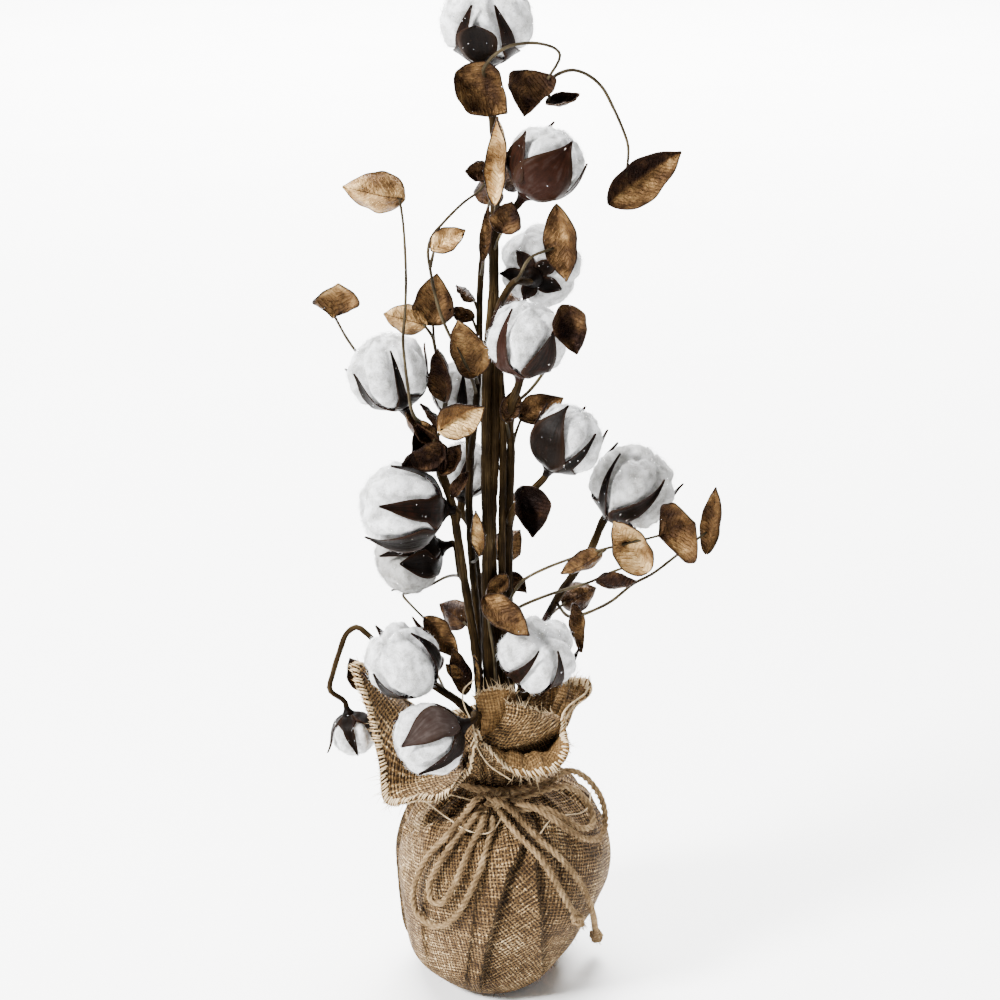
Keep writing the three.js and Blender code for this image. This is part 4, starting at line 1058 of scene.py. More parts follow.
# The cotton: it swells between the segments, dips under them, and is lumpy all over
def cottonPoints(boll, angle, rise, rng):
    belly = lint["foot"] + (1 - lint["foot"]) * np.sin(rise)
    away, dip, under = np.full(angle.shape, np.pi), np.zeros(angle.shape), np.zeros(angle.shape)
    for segment in boll["segments"]:
        past, middle, half = segmentCourse(boll, segment, rise)
        off = np.abs((angle - middle + np.pi) % (2 * np.pi) - np.pi)
        near = 1 - smoothStep(0.85, 1.2, past)
        dip = np.maximum(dip, near * np.exp(-((off / (0.16 + 0.8 * half)) ** 2)))
        under = np.maximum(under, (1 - smoothStep(half * 0.8, half * 1.05 + 0.05, off)) * (past < 1))
        away = np.minimum(away, off)
    crease = np.exp(-((away / 0.2) ** 2)) * (1 - dip)
    radius = boll["size"] * belly * (1 - (lint["dip"] * dip + lint["crease"] * crease) * np.sin(rise)
                                     + lint["swell"] * (1 - dip))
    radius = radius + under * (np.minimum(radius, 0.97 * ballRadius(boll, angle, rise)) - radius)
    points = bollPoint(boll, angle, rise, radius)
    lumps = 0.04 * waves(points, 0.8 * boll["size"], rng) + 0.024 * waves(points, 0.3 * boll["size"], rng)
    lumps = lumps + 0.007 * waves(points, 0.09 * boll["size"], rng)
    return points + (points - boll["frame"]["centre"]) * (lumps * (1 - 0.85 * under))[..., None]


def cottonSkin(boll, rng):
    rise = np.radians(np.linspace(14, 177, lint["rows"]))[:, None]
    angle = 2 * np.pi * np.arange(lint["columns"])[None] / lint["columns"]
    angle, rise = np.broadcast_arrays(angle, rise)
    grid = cottonPoints(boll, angle, rise, rng)
    uv = np.zeros((grid.shape[0], grid.shape[1] + 1, 2))
    return grid, skin(grid, uv, wrap=True, caps=True, shade=boll.get("shade", 0.0))


# Loose fibres all over the cotton, combed a little round, and flat flakes of glitter among them
def fuzz(boll, grid, rng):
    centre = boll["frame"]["centre"]
    count = lint["fibres"]
    rows = rng.integers(6, grid.shape[0], count)
    columns = rng.integers(0, grid.shape[1], count)
    roots = grid[rows, columns]
    out = unit(roots - centre)
    way = rng.normal(size=(count, 3))
    way = unit(way - (way * out).sum(1, keepdims=True) * out)
    length = rng.uniform(*lint["fibreLength"], (count, 1)) * boll["size"] / lint["usual"]
    middles = roots + (out * 0.34 + way * 0.5) * length * 0.6
    tips = middles + (out * 0.12 + way * 0.75) * length * 0.6
    return slivers(roots - out * 0.3, middles, tips, 0.075, shade=boll.get("shade", 0.0))


def glitter(spots, out, count, rng):
    pick = rng.integers(0, len(spots), count)
    spots, out = spots[pick] + rng.normal(size=(count, 3)) * 0.3, out[pick]
    normals = unit(out + rng.normal(size=(count, 3)) * 0.5)
    first = unit(np.cross(normals, rng.normal(size=(count, 3))))
    second = np.cross(normals, first)
    size = rng.uniform(0.2, 0.45, (count, 1))
    middle = spots + out * 0.4
    around = [first, second, -first, -second]
    points = np.stack([middle + way * size for way in around]
                      + [middle + normals * 0.06, middle - normals * 0.06], axis=1)
    sides = [[k, (k + 1) % 4, 4] for k in range(4)] + [[(k + 1) % 4, k, 5] for k in range(4)]
    faces = (np.array(sides)[None] + 6 * np.arange(count)[:, None, None]).reshape(-1, 3)
    return {"points": points.reshape(-1, 3), "faces": [faces], "stuff": 1, "tones": {},
            "uv": [np.zeros((len(faces) * 3, 2))]}


# One burr segment: a pointed shell that starts at the stem, fills its fifth of the cup, and narrows
# to a tip that curls away. u runs across it and v along it.
def segmentSheet(boll, segment, rng):
    v = np.linspace(0, 1, burr["rows"])[:, None]
    u = np.linspace(-1, 1, burr["columns"])[None]
    rise = np.radians(3 + (segment["reach"] - 3) * v)
    past, middle, half = segmentCourse(boll, segment, rise)
    past = np.clip(past, 0, 1)
    angle = middle + u * (half * 0.99 + 0.012)
    rise = np.broadcast_to(rise, angle.shape)
    ball = ballRadius(boll, segment["fifth"] + u * half, rise)
    seam = 0.5 * np.abs(u) ** 6 * (past < 0.02)
    lift = burr["gap"] + burr["thick"] + burr["curl"] * past**4 + 0.9 * np.abs(u) ** 2 * past - seam
    lift = lift + rng.uniform(0.5, 3.5) * past**9
    ribs = 0.10 * np.cos(9 * u) * np.sin(np.pi * v)
    grid = bollPoint(boll, angle, rise, ball + lift + ribs)
    thick = burr["thick"] * (1 - 0.45 * np.abs(u) ** 2) * (1 - 0.55 * past)
    uv = np.stack(np.broadcast_arrays(u * 6, v * 30), axis=-1)
    tone = segment["tone"] + rng.uniform(-0.08, 0.08)
    return thickSheet(grid, uv, thick, tone=(tone, tone + 0.15), edge=(np.abs(u) ** 6 + 0 * v, 0.0))


# Where the stem meets the burr: a small flared collar
def collar(boll):
    place = boll["frame"]
    start = boll["size"] * lint["foot"]
    far = np.array([0.0, 1.4, 2.6, 4.2, 6.4, 8.0])
    wide = np.array([6.2, 6.4, 4.6, 3.2, 2.5, 2.1]) * boll["size"] / lint["usual"]
    path = place["centre"] - place["axis"] * (start + far)[:, None]
    return tubeSkin(path, wide, 14, tone=boll.get("tone", 0.3), edge=0.0)


def lintMaterial():
    material, add, feed = newMaterial("lint", 1.0, Specular_IOR_Level=0.05, Sheen_Weight=0.2,
                                      Sheen_Roughness=0.5)
    place = add("TexCoord", output="Object")
    cloudy = noise(add, place, 150.0, 4.0, 0.6)
    fine = noise(add, place, 1500.0, 3.0, 0.7)
    tone = weighted(add, (cloudy, 0.6), (fine, 0.4))
    colour = ramp(add, tone, [
        (0.36, (0.27, 0.268, 0.26)), (0.46, (0.52, 0.52, 0.51)), (0.55, (0.76, 0.765, 0.77)),
        (0.66, (0.95, 0.955, 0.96))])
    # Painted shade: the cotton of a boll that lies in shade is painted darker
    shade = toneOf(add, "shade")
    feed("Base Color", blend(add, shade, colour, (0.11, 0.10, 0.08, 1)))
    feed("Normal", bump(add, tone, 1.0, 0.0018))
    return material


def glitterMaterial():
    material, add, feed = newMaterial("glitter", 0.18, Metallic=0.85)
    place = add("TexCoord", output="Object")
    feed("Base Color", ramp(add, noise(add, place, 900.0, 0.0), [
        (0.3, (0.80, 0.86, 0.95)), (0.5, (1.0, 1.0, 1.0)), (0.7, (1.0, 0.95, 0.86))]))
    return material


def burrMaterial():
    material, add, feed = newMaterial("burr", 0.42, Specular_IOR_Level=0.03)
    spot, place = placesOf(add)
    tone = toneOf(add, "tone")
    edge = toneOf(add, "edge")
    ribs = noise(add, stretched(add, spot, (0.9, 0.07, 1)), 1.0, 4.0, 0.6)
    mottle = noise(add, place, 210.0, 3.0)
    mixed = weighted(add, (ribs, 0.35), (mottle, 0.3))
    mixed = maths(add, "ADD", mixed, maths(add, "SUBTRACT", tone, 0.33))
    colour = ramp(add, mixed, [
        (0.12, (0.0009, 0.0006, 0.0005)), (0.34, (0.0032, 0.0018, 0.0011)), (0.52, (0.014, 0.0046, 0.0024)),
        (0.72, (0.030, 0.021, 0.018)), (0.95, (0.085, 0.068, 0.062))])
    feed("Base Color", blend(add, edge, colour, (0.016, 0.008, 0.0045, 1)))
    feed("Normal", bump(add, maths(add, "ADD", ribs, mottle), 0.45, 0.0008))
    return material


def makeBolls(sparkle):
    cotton, husk = lintMaterial(), burrMaterial()
    for number, boll in enumerate(bolls):
        rng = np.random.default_rng(lint["seed"] + number)
        boll["frame"] = bollFrame(boll)
        boll["segments"] = segmentTable(boll, rng)
        grid, shell = cottonSkin(boll, rng)
        spots = grid[8:].reshape(-1, 3)
        flakes = glitter(spots, unit(spots - boll["frame"]["centre"]), lint["flakes"], rng)
        parts = [shell, fuzz(boll, grid, rng), flakes]
        name = "boll_" + boll["name"]
        makePiece(name + "_cotton", parts, [cotton, sparkle], [name + "_lint"])
        sheets = [segmentSheet(boll, segment, rng) for segment in boll["segments"]]
        spots = np.vstack([sheet["points"][:len(sheet["points"]) // 2] for sheet in sheets])
        flakes = glitter(spots, unit(spots - boll["frame"]["centre"]), burr["flakes"], rng)
        sheets += [collar(boll), flakes]
        makePiece(name + "_husk", sheets, [husk, sparkle], [name + "_burr"])


sparkle = glitterMaterial()
makeBolls(sparkle)
print("stage: bolls")

# Branches, their twigs, the wires of the leaves, and the leaves


# A leaf: the points of its wire, its base and tip, its width, and whatever departs from the usual
def aLeaf(stalk, base, tip, width, **more):
    return {"stalk": stalk, "base": base, "tip": tip, "width": width, **more}


branches = [
  {
    "name": "branch_centre", "neck": [-3, 0], "radius": 3.6, "boll": "top",
    "trunk": [[497, 690, 0], [492, 600, 0], [491, 520, 0], [494, 450, 0], [495, 380, 0], [494, 300, 0],
      [494, 230, 0], [497, 160, 2], [491, 105, 2]],
    "twigs": [
      {"boll": "upper_right", "radius": 2, "points": [[494, 246, 0], [499, 226, -3]]},
      {"boll": "turned_away", "radius": 2, "points": [[495, 322, 0], [503, 298, -12], [516, 281, -18]]},
    ],
    "leaves": [
      aLeaf([[490, 88, 1], [485, 74, -6]], [456, 72, -10], [507, 113, -12], 27, turn=8, gold=0.6,
            shoulder=0.4, grip=[-0.6, 0.26]),
      aLeaf([[488, 82, 0], [484, 68, -18], [496, 54, -23], [510, 46, -25], [535, 43, -22], [556, 49, -16],
            [560, 57, -12]], [530, 70, -8], [524, 116, -10], 27, turn=12, halves=(0.3, 0.36),
            shoulder=0.17, grip=[-0.7, 0.14]),
      aLeaf([[550, 84, -8], [549, 96, -5]], [546, 104, -4], [580, 97, -4], 9, turn=40, gold=0.12),
      aLeaf([[549, 80, -8], [560, 73, -5], [573, 70, -4], [588, 75, -4], [602, 87, -5], [613, 107, -6],
            [622, 127, -8], [628, 145, -11], [628, 160, -15]], [608, 204, -14], [681, 152, -10], 23,
            turn=-12, halves=(0.18, 0.6), grip=[-0.6, 0.34]),
      aLeaf([[495, 220, 0]], [495, 206, -10], [500, 116, -14], 13, turn=20, gold=0.95, cup=0.5),
      aLeaf([[494, 252, 0], [498, 240, -8]], [502, 233, -12], [512, 201, -14], 17, gold=0.42),
      aLeaf([[509, 289, -15], [519, 277, -21], [530, 258, -24]], [556, 204, -16], [569, 281, -26], 20,
            turn=-20, gold=0.55, shoulder=0.5, grip=[0.6, 0.55]),
      aLeaf([[495, 350, 0], [502, 335, 14]], [507, 325, 20], [520, 290, 44], 18, turn=150, gold=0.4),
      aLeaf([[494, 200, 0], [500, 190, 8]], [503, 186, 12], [522, 160, 34], 17, turn=170, gold=0.4),
    ],
  },
  {
    "name": "branch_right", "neck": [6, 5], "radius": 2.5, "boll": "middle_right",
    "trunk": [[511, 690, 6], [509, 600, 5], [509, 520, 3], [511, 450, 2], [510, 425, 0], [513, 400, -10]],
    "twigs": [
      {"boll": "right", "radius": 2, "points": [[509, 524, 3], [516, 506, -6]]},
    ],
    "leaves": [
      aLeaf([[513, 405, -8], [532, 388, 0], [556, 352, 0], [568, 320, -12]], [562, 305, -40],
            [577, 354, -50], 19, turn=18, gold=0.34),
      aLeaf([[511, 460, 2], [515, 436, 4]], [518, 417, 5], [563, 398, 4], 17, turn=10, gold=0.52),
      aLeaf([[510, 440, 1]], [505, 421, -7], [516, 388, -9], 12, turn=-20, gold=0.48),
      aLeaf([[514, 511, -3]], [522, 486, -12], [533, 537, -24], 21, turn=15, gold=0.04, cup=0.6),
      aLeaf([[509, 560, 4]], [506, 572, 10], [527, 591, 10], 11, turn=-10, gold=0.28),
      aLeaf([[509, 602, 5], [516, 589, -6], [525, 579, -11], [544, 569, -15], [570, 559, -19],
            [608, 548, -25], [646, 539, -29]], [659, 536, -30], [695, 522, -31], 37, turn=0, gold=0.52,
            shoulder=0.58),
      aLeaf([[509, 618, 5], [518, 608, -4], [535, 600, -8], [557, 592, -11], [590, 582, -15],
            [612, 572, -19], [632, 566, -23]], [647, 573, -26], [611, 519, -32], 21, turn=10, gold=0.88),
      aLeaf([[598, 579, -17]], [596, 582, -19], [636, 584, -22], 12, turn=150, gold=0.45),
      aLeaf([[606, 549, -24]], [602, 553, -24], [561, 574, -22], 13, turn=200, gold=0.68),
    ],
  },
  {
    "name": "branch_left", "neck": [-10, -5], "radius": 2.5, "boll": "left",
    "trunk": [[480, 690, -7], [474, 640, -8], [466, 590, -9], [459, 545, -9], [452, 505, -9],
      [441, 470, -8], [430, 440, -6], [420, 424, -3]],
    "twigs": [
      {"boll": "left_middle", "radius": 1.8, "points": [[456, 525, -9]]},
      {"boll": "left_lower", "radius": 1.8, "points": [[464, 580, -8], [460, 572, 2]]},
    ],
    "leaves": [
      aLeaf([[426, 433, -5], [412, 411, -20], [408, 388, -25], [405, 364, -26], [403, 340, -24],
            [405, 313, -16], [406, 280, -12], [405, 250, -10], [403, 222, -9]], [405, 199, -8],
            [343, 187, -12], 23, turn=205, gold=0.9, shoulder=0.36),
      aLeaf([[419, 423, -3], [402, 412, 20], [380, 385, 36], [360, 357, 31], [346, 337, 20]],
            [333, 318, 12], [338, 283, 8], 25, turn=0, gold=0.62, shoulder=0.62),
      aLeaf([[444, 478, -8]], [442, 470, -13], [417, 424, -16], 20, turn=30, gold=0.14, cup=0.5),
      aLeaf([[436, 455, -7], [434, 442, -16]], [438, 431, -20], [484, 406, -20], 21, halves=(0.55, 0.84)),
      aLeaf([[430, 440, -6], [440, 424, 0]], [445, 402, 0], [440, 348, -4], 17, turn=40, gold=0.34),
      aLeaf([[432, 444, -6], [444, 425, 4], [446, 401, 8], [440, 364, 8], [435, 346, 7]], [432, 325, 6],
            [437, 274, 2], 23, gold=0.5),
      aLeaf([[436, 352, 7], [432, 336, 3]], [427, 325, 0], [384, 314, -2], 17, turn=190, gold=0.85),
      aLeaf([[464, 580, -8], [459, 576, 6], [446, 577, 30], [430, 585, 40], [412, 592, 32],
            [403, 595, 14], [412, 606, -2]], [424, 617, -8], [458, 657, -14], 15, turn=20, gold=0.52),
      aLeaf([[452, 505, -9], [440, 498, 20]], [432, 494, 26], [400, 470, 44], 20, turn=160, gold=0.4),
    ],
  },
  {
    "name": "branch_inner", "neck": [-9, 7], "radius": 2.1, "boll": "back_upper",
    "trunk": [[479, 690, 10], [477, 620, 11], [472, 560, 11], [469, 500, 11], [470, 455, 12],
      [467, 430, 22]],
    "twigs": [
      {"radius": 1.8, "points": [[470, 460, 11], [475, 420, 6], [479, 350, 6], [480, 290, 7],
       [484, 240, 8], [487, 214, 8]]},
    ],
    "leaves": [
      aLeaf([[477, 396, 6], [470, 374, -5], [459, 352, -9], [449, 334, -10], [440, 312, -10],
            [434, 290, -10], [430, 268, -9], [428, 253, -8], [431, 238, -8], [443, 223, -8],
            [463, 203, -8], [480, 190, -7], [486, 180, -6]], [488, 169, -5], [465, 171, -8], 12, turn=30,
            gold=0.5),
      aLeaf([[430, 268, -9]], [431, 250, -11], [465, 230, -12], 14, turn=20, gold=0.85),
      aLeaf([[478, 384, 5]], [477, 376, -4], [458, 318, -17], 21, turn=-10, gold=0.6),
      aLeaf([[481, 276, 7]], [483, 262, -7], [489, 206, -9], 7, turn=30, gold=0.42),
      aLeaf([[479, 336, 6]], [474, 318, 3], [449, 308, 0], 9, turn=20, gold=0.45),
      aLeaf([[480, 316, 6]], [475, 301, 4], [457, 285, 2], 10, turn=60, gold=0.3),
      aLeaf([[472, 562, 11], [476, 560, -4]], [480, 556, -11], [476, 511, -13], 9, turn=30, gold=0.75),
      aLeaf([[486, 218, 8], [488, 208, 14]], [490, 204, 18], [488, 172, 34], 16, turn=170, gold=0.4),
    ],
  },
  {
    "name": "branch_far_right", "neck": [11, 11], "radius": 2.3, "boll": "far_right",
    "trunk": [[521, 690, 17], [533, 650, 24], [546, 619, 24], [560, 594, 18], [573, 575, 13],
      [590, 551, 9]],
    "twigs": [],
    "leaves": [
      aLeaf([[556, 602, 20], [568, 616, 4], [581, 615, -4], [610, 602, -10], [633, 584, -14],
            [652, 574, -17], [672, 559, -19], [692, 543, -20]], [707, 554, -20], [716, 487, -20], 12,
            turn=30, gold=0.62, grip=[-0.5, 0.3]),
      aLeaf([[572, 616, 1]], [573, 603, -5], [581, 652, -9], 10, turn=25, gold=0.5),
      aLeaf([[546, 619, 24], [556, 610, 34]], [562, 604, 38], [596, 588, 46], 18, turn=180, gold=0.4),
    ],
  },
  {
    "name": "branch_low_left", "neck": [-6, -13], "radius": 2.2, "boll": "low_left",
    "trunk": [[478, 724, -13], [460, 703, -14], [444, 692, -12]],
    "twigs": [
      {"boll": "front", "radius": 1.8, "points": [[479, 730, -13], [479, 716, -26], [474, 714, -42]]},
      {"boll": "hanging", "radius": 1.6, "points": [[460, 703, -14], [446, 692, -10], [420, 672, 4],
       [396, 655, 9], [377, 643, 12], [366, 633, 13], [357, 627, 13], [347, 633, 13], [340, 650, 13],
       [333, 673, 13], [330, 690, 13]]},
    ],
    "leaves": [
      aLeaf([[396, 655, 9], [380, 674, 25]], [369, 690, 28], [350, 657, 24], 15, turn=20, gold=0.45),
      aLeaf([[446, 694, -12], [440, 680, 14]], [436, 672, 22], [420, 640, 36], 18, turn=170, gold=0.32),
    ],
  },
  {
    "name": "branch_low_right", "neck": [4, -10], "radius": 2.1, "boll": "low_right",
    "trunk": [[508, 722, -11], [520, 702, -9]],
    "twigs": [],
    "leaves": [
      aLeaf([[508, 724, -11], [497, 690, -13], [494, 655, -12], [489, 622, -12]], [484, 597, -18],
            [530, 636, -46], 18, turn=20, gold=0.56, cup=0.3),
    ],
  },
  {
    "name": "branch_back", "neck": [0, 13], "radius": 2.1, "boll": "back_lower",
    "trunk": [[490, 690, 19], [485, 640, 24], [478, 580, 30], [470, 525, 36]],
    "twigs": [],
    "leaves": [
      aLeaf([[478, 580, 30], [488, 566, 40]], [494, 558, 44], [520, 530, 50], 19, turn=175, gold=0.45),
      aLeaf([[485, 640, 24], [472, 630, 36]], [466, 624, 40], [440, 604, 52], 19, turn=185, gold=0.45),
      aLeaf([[488, 665, 21], [500, 652, 34]], [505, 646, 38], [524, 622, 50], 17, turn=170, gold=0.45),
    ],
  },
]

# Small crumpled leaves that only the look has, by branch
bits = {
    "branch_left": [
        {"base": [447, 447, -18], "tip": [401, 462, -20], "width": 17, "turn": 25, "gold": 0.3},
        {"base": [438, 448, -15], "tip": [402, 416, -12], "width": 15, "turn": -40, "gold": 0.42},
        {"base": [441, 474, -15], "tip": [461, 444, -18], "width": 13, "turn": 30, "gold": 0.36},
        {"base": [447, 432, -8], "tip": [420, 404, -6], "width": 9, "turn": 60, "gold": 0.25},
        {"base": [452, 498, -16], "tip": [468, 472, -16], "width": 9, "turn": 50, "gold": 0.1},
    ],
    "branch_low_left": [
        {"base": [466, 694, -18], "tip": [452, 648, -20], "width": 13, "turn": -30, "gold": 0.3},
        {"base": [479, 694, -16], "tip": [475, 655, -15], "width": 4, "turn": 20, "gold": 0.95},
        {"base": [463, 676, -22], "tip": [446, 664, -22], "width": 8, "turn": 20, "gold": 0.62},
    ],
    "branch_right": [
        {"base": [507, 575, -4], "tip": [485, 596, -12], "width": 11, "turn": 20, "gold": 0.4},
    ],
}

# Thinner stems that run along the middle trunk and join it: where they go, and their radius
runners = [
    {"route": [[492, 712, -5], [489, 660, -5], [487, 600, -5], [487, 540, -5], [486, 470, -4],
               [486, 410, -4], [488, 350, -3], [493, 290, 0]], "radius": 3.2},
    {"route": [[502, 712, -1], [504, 660, -1], [502, 600, -1], [502, 540, -1], [503, 470, -1], [503, 420, -1],
               [500, 370, -1], [496, 330, 0]], "radius": 2.4},
]

stem = {
    "sides": 12, "twigSides": 10, "wireSides": 8, "step": 3.0,
    "wire": 1.05,      # radius of a leaf's wire where it leaves the twig
    "wireEnd": 0.75,
    "fuller": 1.2,     # the paper wrapping makes a trunk this much thicker, and more at its foot
    "footFuller": 0.28,
    "footReach": 90.0,  # how far up that reaches
    "seed": 300,
    "footHeight": 24.0, "footSpread": 1.15,
    "seatGap": 2.1,    # from the ball to the stem's end: the burr and its gaps
}
blade = {"rows": 27, "columns": 15, "thick": 0.55, "rimRadius": 0.42, "ribRadius": 0.36,
         "deeper": 1.9, "flakes": 6}


def stemSeat(name):
    boll = next(each for each in bolls if each["name"] == name)
    seat = boll["size"] * lint["foot"] + stem["seatGap"]
    return [boll["frame"]["centre"] - boll["frame"]["axis"] * far for far in (seat + 7, seat)]


# Paper-wrapped wire: its radius swells and shrinks a little along it
def barkTube(points, start, end, sides, rng):
    path = smoothPath(points, stem["step"])
    far = np.linspace(0, 1, len(path))
    wobble = 1 + 0.05 * waves(path, 13.0, rng) + 0.03 * waves(path, 5.0, rng)
    low = 1 - smoothStep(0, stem["footReach"], far * pathLength(path))
    wrapped = stem["fuller"] + stem["footFuller"] * low * (start > 2)
    return tubeSkin(path, (start + (end - start) * far) * wobble * wrapped, sides, lobes=2, lobeDepth=0.045,
                    pitch=26.0)


# A cupped leaf on a grid: u across from -1 to 1, v along from base to tip. Its edges are raised by
# cup, its length arches like a boat, its rim curls and waves, and its face is crumpled.
def leafGrid(leaf, u, v, rng=None):
    foot, tip = seen([leaf["base"], leaf["tip"]])
    along = tip - foot
    length = np.linalg.norm(along)
    along = along / length
    across = unit(np.cross(along, towardsEye))
    face = np.cross(across, along)
    twist = 0 if rng is None else rng.uniform(-0.7, 0.7)
    roll = (math.radians(leaf.get("turn", 0)) + twist * np.maximum(v - 0.1, 0))[..., None]
    side = across * np.cos(roll) + face * np.sin(roll)
    normal = face * np.cos(roll) - across * np.sin(roll)
    bend = math.log(0.5) / math.log(leaf.get("shoulder", 0.42))
    half = leaf["width"] / 2 * np.sin(np.pi * np.clip(v, 1e-4, 1 - 1e-4) ** bend) ** 0.8
    half = np.maximum(half * (1 - 0.3 * smoothStep(0.86, 1, v)), 0.25)
    crease = np.sqrt(u**2 + 0.015) - math.sqrt(0.015)
    raised = leaf.get("cup", 0.35) * blade["deeper"] * half * crease
    raised = raised - leaf.get("arch", 0.1) * length * np.sin(np.pi * v)
    if rng is not None:
        phase = rng.uniform(0, 2 * np.pi, 4)
        half = half * (1 + 0.05 * np.sin(8 * v + phase[3] + 2 * np.sign(u)) * np.sin(np.pi * v))
        half = half * (1 + 0.035 * np.sin(19 * v + 2 * phase[3] - 3 * np.sign(u)) * np.sin(np.pi * v))
        raised = raised * (1 + rng.uniform(-0.35, 0.35) * u)
        raised = raised + 0.16 * half * smoothStep(0.7, 1, np.abs(u))
        raised = raised + 0.09 * half * np.abs(u) ** 3 * np.sin(9 * v + phase[0] + u)
        raised = raised + 0.8 * np.sin(5.5 * u + 7 * v + phase[1]) * np.sin(6 * v + phase[2])
        raised = raised + 0.3 * np.sin(10 * u - 13 * v + phase[2]) * np.sin(15 * v + 3 * u + phase[0])
        raised = raised + leaf.get("hook", rng.uniform(-0.02, 0.1)) * length * smoothStep(0.7, 1, v) ** 2
    return (foot + (v * length)[..., None] * along + (u * half)[..., None] * side
            + raised[..., None] * normal), half, length


# A leaf's solid blade, with a bead along its rim and a rib down its back
def leafParts(leaf, rng):
    rows, columns = blade["rows"], blade["columns"]
    v = np.linspace(0, 1, rows)[:, None]
    u = np.sin(np.linspace(-1, 1, columns) * np.pi / 2)[None]
    u, v = np.broadcast_arrays(u, v)
    grid, half, length = leafGrid(leaf, u, v, rng)
    uv = np.stack([u * half, v * length], axis=-1)
    lit = leaf.get("gold", 0.45)
    # Painted light and shade: the two halves of a folded leaf take different tones, one lit, one in shade
    low, high = leaf.get("halves", (lit, lit))
    front = np.where(u < 0, low, high)
    backTone = leaf.get("back", lit - 0.12)
    rim = np.maximum(np.abs(u) ** 10, smoothStep(0.93, 1.0, v))
    sheet = thickSheet(grid + gridNormals(grid) * blade["thick"] / 2, uv, blade["thick"],
                       gold=(front, backTone), rim=(rim, rim * 0.7))
    edge = np.concatenate([grid[:, 0], grid[::-1, -1]])
    bead = tubeSkin(edge, blade["rimRadius"], 5, gold=0.25, rim=0.6)
    rib = grid[1:-2, columns // 2] - gridNormals(grid)[1:-2, columns // 2] * 0.25
    ribTube = tubeSkin(rib, np.linspace(blade["ribRadius"], 0.15, len(rib)), 5, gold=backTone * 0.7, rim=0.3)
    return [sheet, bead, ribTube]


woods = {
    "bark": {
        "shine": 0.02, "stretch": (1.3, 0.05, 1), "streaks": (4.0, 0.65), "patches": (55.0, 4.0),
        "shares": (0.65, 0.5), "bump": (0.6, 0.0008),
        "ramp": [(0.38, (0.003, 0.0016, 0.0006)), (0.54, (0.010, 0.0055, 0.0019)),
                 (0.66, (0.026, 0.0155, 0.0058)), (0.8, (0.09, 0.062, 0.028))],
    },
    "wire": {
        "shine": 0.05, "stretch": (1.6, 0.08, 1), "streaks": (3.0, 0.6), "patches": (80.0, 3.0),
        "shares": (0.5, 0.6), "bump": (0.5, 0.0006),
        "ramp": [(0.35, (0.006, 0.004, 0.002)), (0.52, (0.02, 0.0145, 0.007)), (0.7, (0.06, 0.046, 0.025)),
                 (0.88, (0.15, 0.12, 0.075))],
    },
}


def woodMaterial(name):
    look = woods[name]
    material, add, feed = newMaterial(name, 0.6, Specular_IOR_Level=look["shine"])
    spot, place = placesOf(add)
    streaks = noise(add, stretched(add, spot, look["stretch"]), 1.0, *look["streaks"])
    patches = noise(add, place, *look["patches"])
    tone = weighted(add, (streaks, look["shares"][0]), (patches, look["shares"][1]))
    feed("Base Color", ramp(add, tone, look["ramp"]))
    feed("Normal", bump(add, streaks, *look["bump"]))
    return material


def leafMaterial():
    material, add, feed = newMaterial("leaf", 0.4, Metallic=0.55, Specular_IOR_Level=0.08)
    spot, place = placesOf(add)
    gold = toneOf(add, "gold")
    rim = toneOf(add, "rim")
    split = add("SeparateXYZ", {"Vector": spot}).node
    slope = maths(add, "SUBTRACT", split.outputs[1], maths(add, "ABSOLUTE", split.outputs[0]))
    bent = weighted(add, (slope, 1.15), (noise(add, spot, 0.35), 5.0))
    veins = maths(add, "SUBTRACT", 1.0, maths(add, "ABSOLUTE", maths(add, "SINE", bent)))
    veins = maths(add, "POWER", veins, 6.0)
    crumple = noise(add, place, 170.0, 5.0, 0.62)
    patches = noise(add, place, 60.0, 3.0)
    tone = swayed(add, gold, crumple, 0.85)
    tone = swayed(add, tone, patches, 1.2)
    # Painted highlight: the veins are lighter where they stand up and catch the light
    tone = maths(add, "ADD", tone, maths(add, "MULTIPLY", veins, 0.2))
    colour = ramp(add, tone, [
        (0.0, (0.004, 0.0018, 0.0012)), (0.22, (0.013, 0.0055, 0.003)), (0.45, (0.046, 0.023, 0.0095)),
        (0.65, (0.12, 0.064, 0.024)), (0.85, (0.30, 0.178, 0.070)), (1.0, (0.60, 0.40, 0.18))])
    edged = blend(add, maths(add, "MULTIPLY", rim, 0.6, clamp=True), colour, (0.012, 0.006, 0.0035, 1))
    feed("Base Color", edged)
    feed("Roughness", between(add, crumple, 0.3, 0.7, 0.34, 0.6))
    relief = weighted(add, (crumple, 0.8), (veins, 0.35))
    feed("Normal", bump(add, relief, 1.0, 0.0032))
    return material


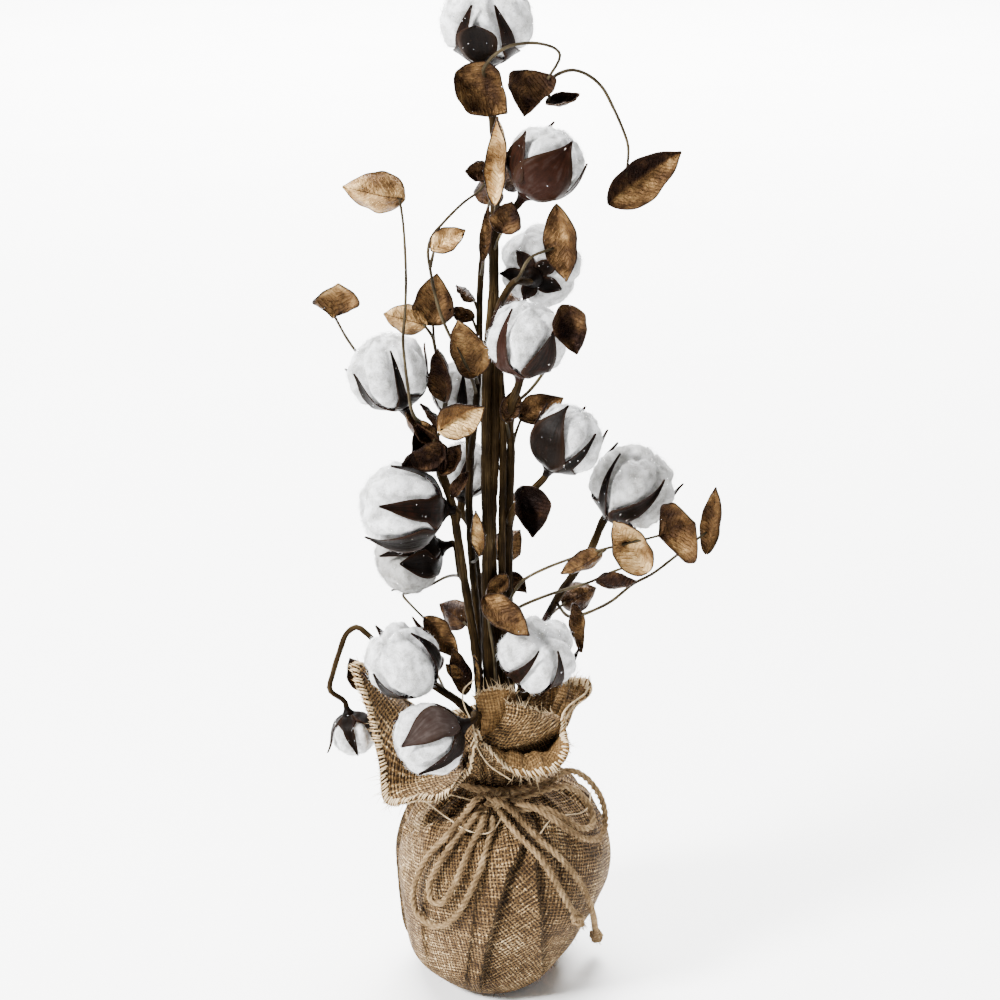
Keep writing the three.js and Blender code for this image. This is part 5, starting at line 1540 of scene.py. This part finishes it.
def makeBranches():
    bark, wire, leafy = woodMaterial("bark"), woodMaterial("wire"), leafMaterial()
    for number, branch in enumerate(branches):
        rng = np.random.default_rng(stem["seed"] + number)
        neck = np.array([*branch["neck"], neckLow])
        foot = np.array([branch["neck"][0] * stem["footSpread"], branch["neck"][1] * stem["footSpread"],
                         stem["footHeight"]])
        radius = branch["radius"]
        trunk = [neck, *seen(branch["trunk"]), *stemSeat(branch["boll"])]
        parts = [barkTube(trunk, radius, min(radius, 2.1), stem["sides"], rng),
                 tubeSkin(np.linspace(foot, neck + (neck - foot) * 0.02, 12), radius, stem["sides"])]
        for twig in branch["twigs"]:
            route = [*seen(twig["points"]), *(stemSeat(twig["boll"]) if "boll" in twig else [])]
            parts.append(barkTube(route, twig["radius"], twig["radius"] * 0.9, stem["twigSides"], rng))
        if branch is branches[0]:
            for runner in runners:
                radius = runner["radius"]
                parts.append(barkTube(seen(runner["route"]), radius, radius * 0.7, stem["twigSides"], rng))
        leaves = []
        for leaf in branch["leaves"]:
            u, v = leaf.get("grip", [0, 0.09])
            grip = leafGrid(leaf, np.array([float(u)]), np.array([float(v)]))[0][0]
            route = smoothPath([*seen(leaf["stalk"]), grip], stem["step"])
            thin = np.linspace(stem["wire"], stem["wireEnd"], len(route))
            wiry = tubeSkin(route, thin * (1 + 0.06 * waves(route, 7.0, rng)), stem["wireSides"], stuff=1)
            parts.append(wiry)
            leaves += leafParts(leaf, rng)
        for bit in bits.get(branch["name"], []):
            leaves += leafParts(bit, rng)
        makePiece(branch["name"] + "_stems", parts, [bark, wire], [branch["name"]])
        spots = np.vstack([part["points"][::3] for part in leaves])
        count = blade["flakes"] * len(branch["leaves"])
        leaves.append(glitter(spots, unit(rng.normal(size=spots.shape)), count, rng))
        makePiece(branch["name"] + "_leaves", leaves, [leafy, sparkle], [branch["name"]])


makeBranches()
print("stage: branches")

# Loose threads of the burlap and the twine that curl over the neck

threads = {
    "radius": 0.52,
    "routes": [
        [[474, 680, -30], [464, 689, -34], [463, 701, -38], [473, 726, -46], [476, 744, -52], [488, 764, -56],
         [511, 780, -52]],
    ],
    "onBag": [
        [[410, 782, 6], [429, 789, 6], [444, 793, 8], [471, 800, 8]],
        [[424, 800, 5], [449, 819, 9], [469, 831, 9], [488, 833, 10], [501, 818, 8], [499, 806, 6]],
        [[453, 781, 8], [443, 790, 8], [438, 804, 6]],
        [[540, 834, 13], [552, 819, 14], [568, 815, 14], [581, 813, 13], [588, 807, 12], [591, 792, 10]],
    ],
}


def makeThreads():
    routes = [seen(route) for route in threads["routes"]]
    routes += [np.array([onBag(*point) for point in route]) for route in threads["onBag"]]
    parts = [tubeSkin(smoothPath(route, 1.5), threads["radius"], 6, 2, 0.2, 4.0, pale=0.6)
             for route in routes]
    makePiece("loose_threads", parts + twineHairs, [jute])


makeThreads()
print("stage: loose threads")

# Pot and plaster keep their shapes


grains = {
    "clay": {"rough": 0.85, "noise": (400.0, 4.0), "bump": (0.3, 0.0006),
             "ramp": [(0.3, (0.22, 0.09, 0.05)), (0.7, (0.36, 0.17, 0.10))]},
    "plaster": {"rough": 0.9, "noise": (300.0, 5.0), "bump": (0.4, 0.0008),
                "ramp": [(0.3, (0.58, 0.55, 0.49)), (0.7, (0.78, 0.75, 0.69))]},
}


def grainMaterial(name):
    look = grains[name]
    material, add, feed = newMaterial(name, look["rough"])
    grain = noise(add, add("TexCoord", output="Object"), *look["noise"])
    feed("Base Color", ramp(add, grain, look["ramp"]))
    feed("Normal", bump(add, grain, *look["bump"]))
    return material


for nodeName, look in (("inner_pot", "clay"), ("plaster_fill", "plaster")):
    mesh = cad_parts[nodeName].data
    mesh.materials.clear()
    mesh.materials.append(grainMaterial(look))

# Floor

floor = {"half": 9.0, "drop": 0.0004}


def makeFloor():
    material, add, feed = newMaterial("floor", 0.7)
    place = add("TexCoord", output="Object")
    feed("Base Color", ramp(add, noise(add, place, 3.0, 2.0), [
        (0.3, (0.94, 0.94, 0.935)), (0.7, (0.97, 0.97, 0.965))]))
    half, low = floor["half"], -floor["drop"]
    mesh = bpy.data.meshes.new("floor")
    mesh.from_pydata([(-half, -half, low), (half, -half, low), (half, half, low), (-half, half, low)], [],
                     [(0, 1, 2, 3)])
    mesh.materials.append(material)
    ground = bpy.data.objects.new("floor", mesh)
    bpy.context.scene.collection.objects.link(ground)


makeFloor()
print("stage: floor")
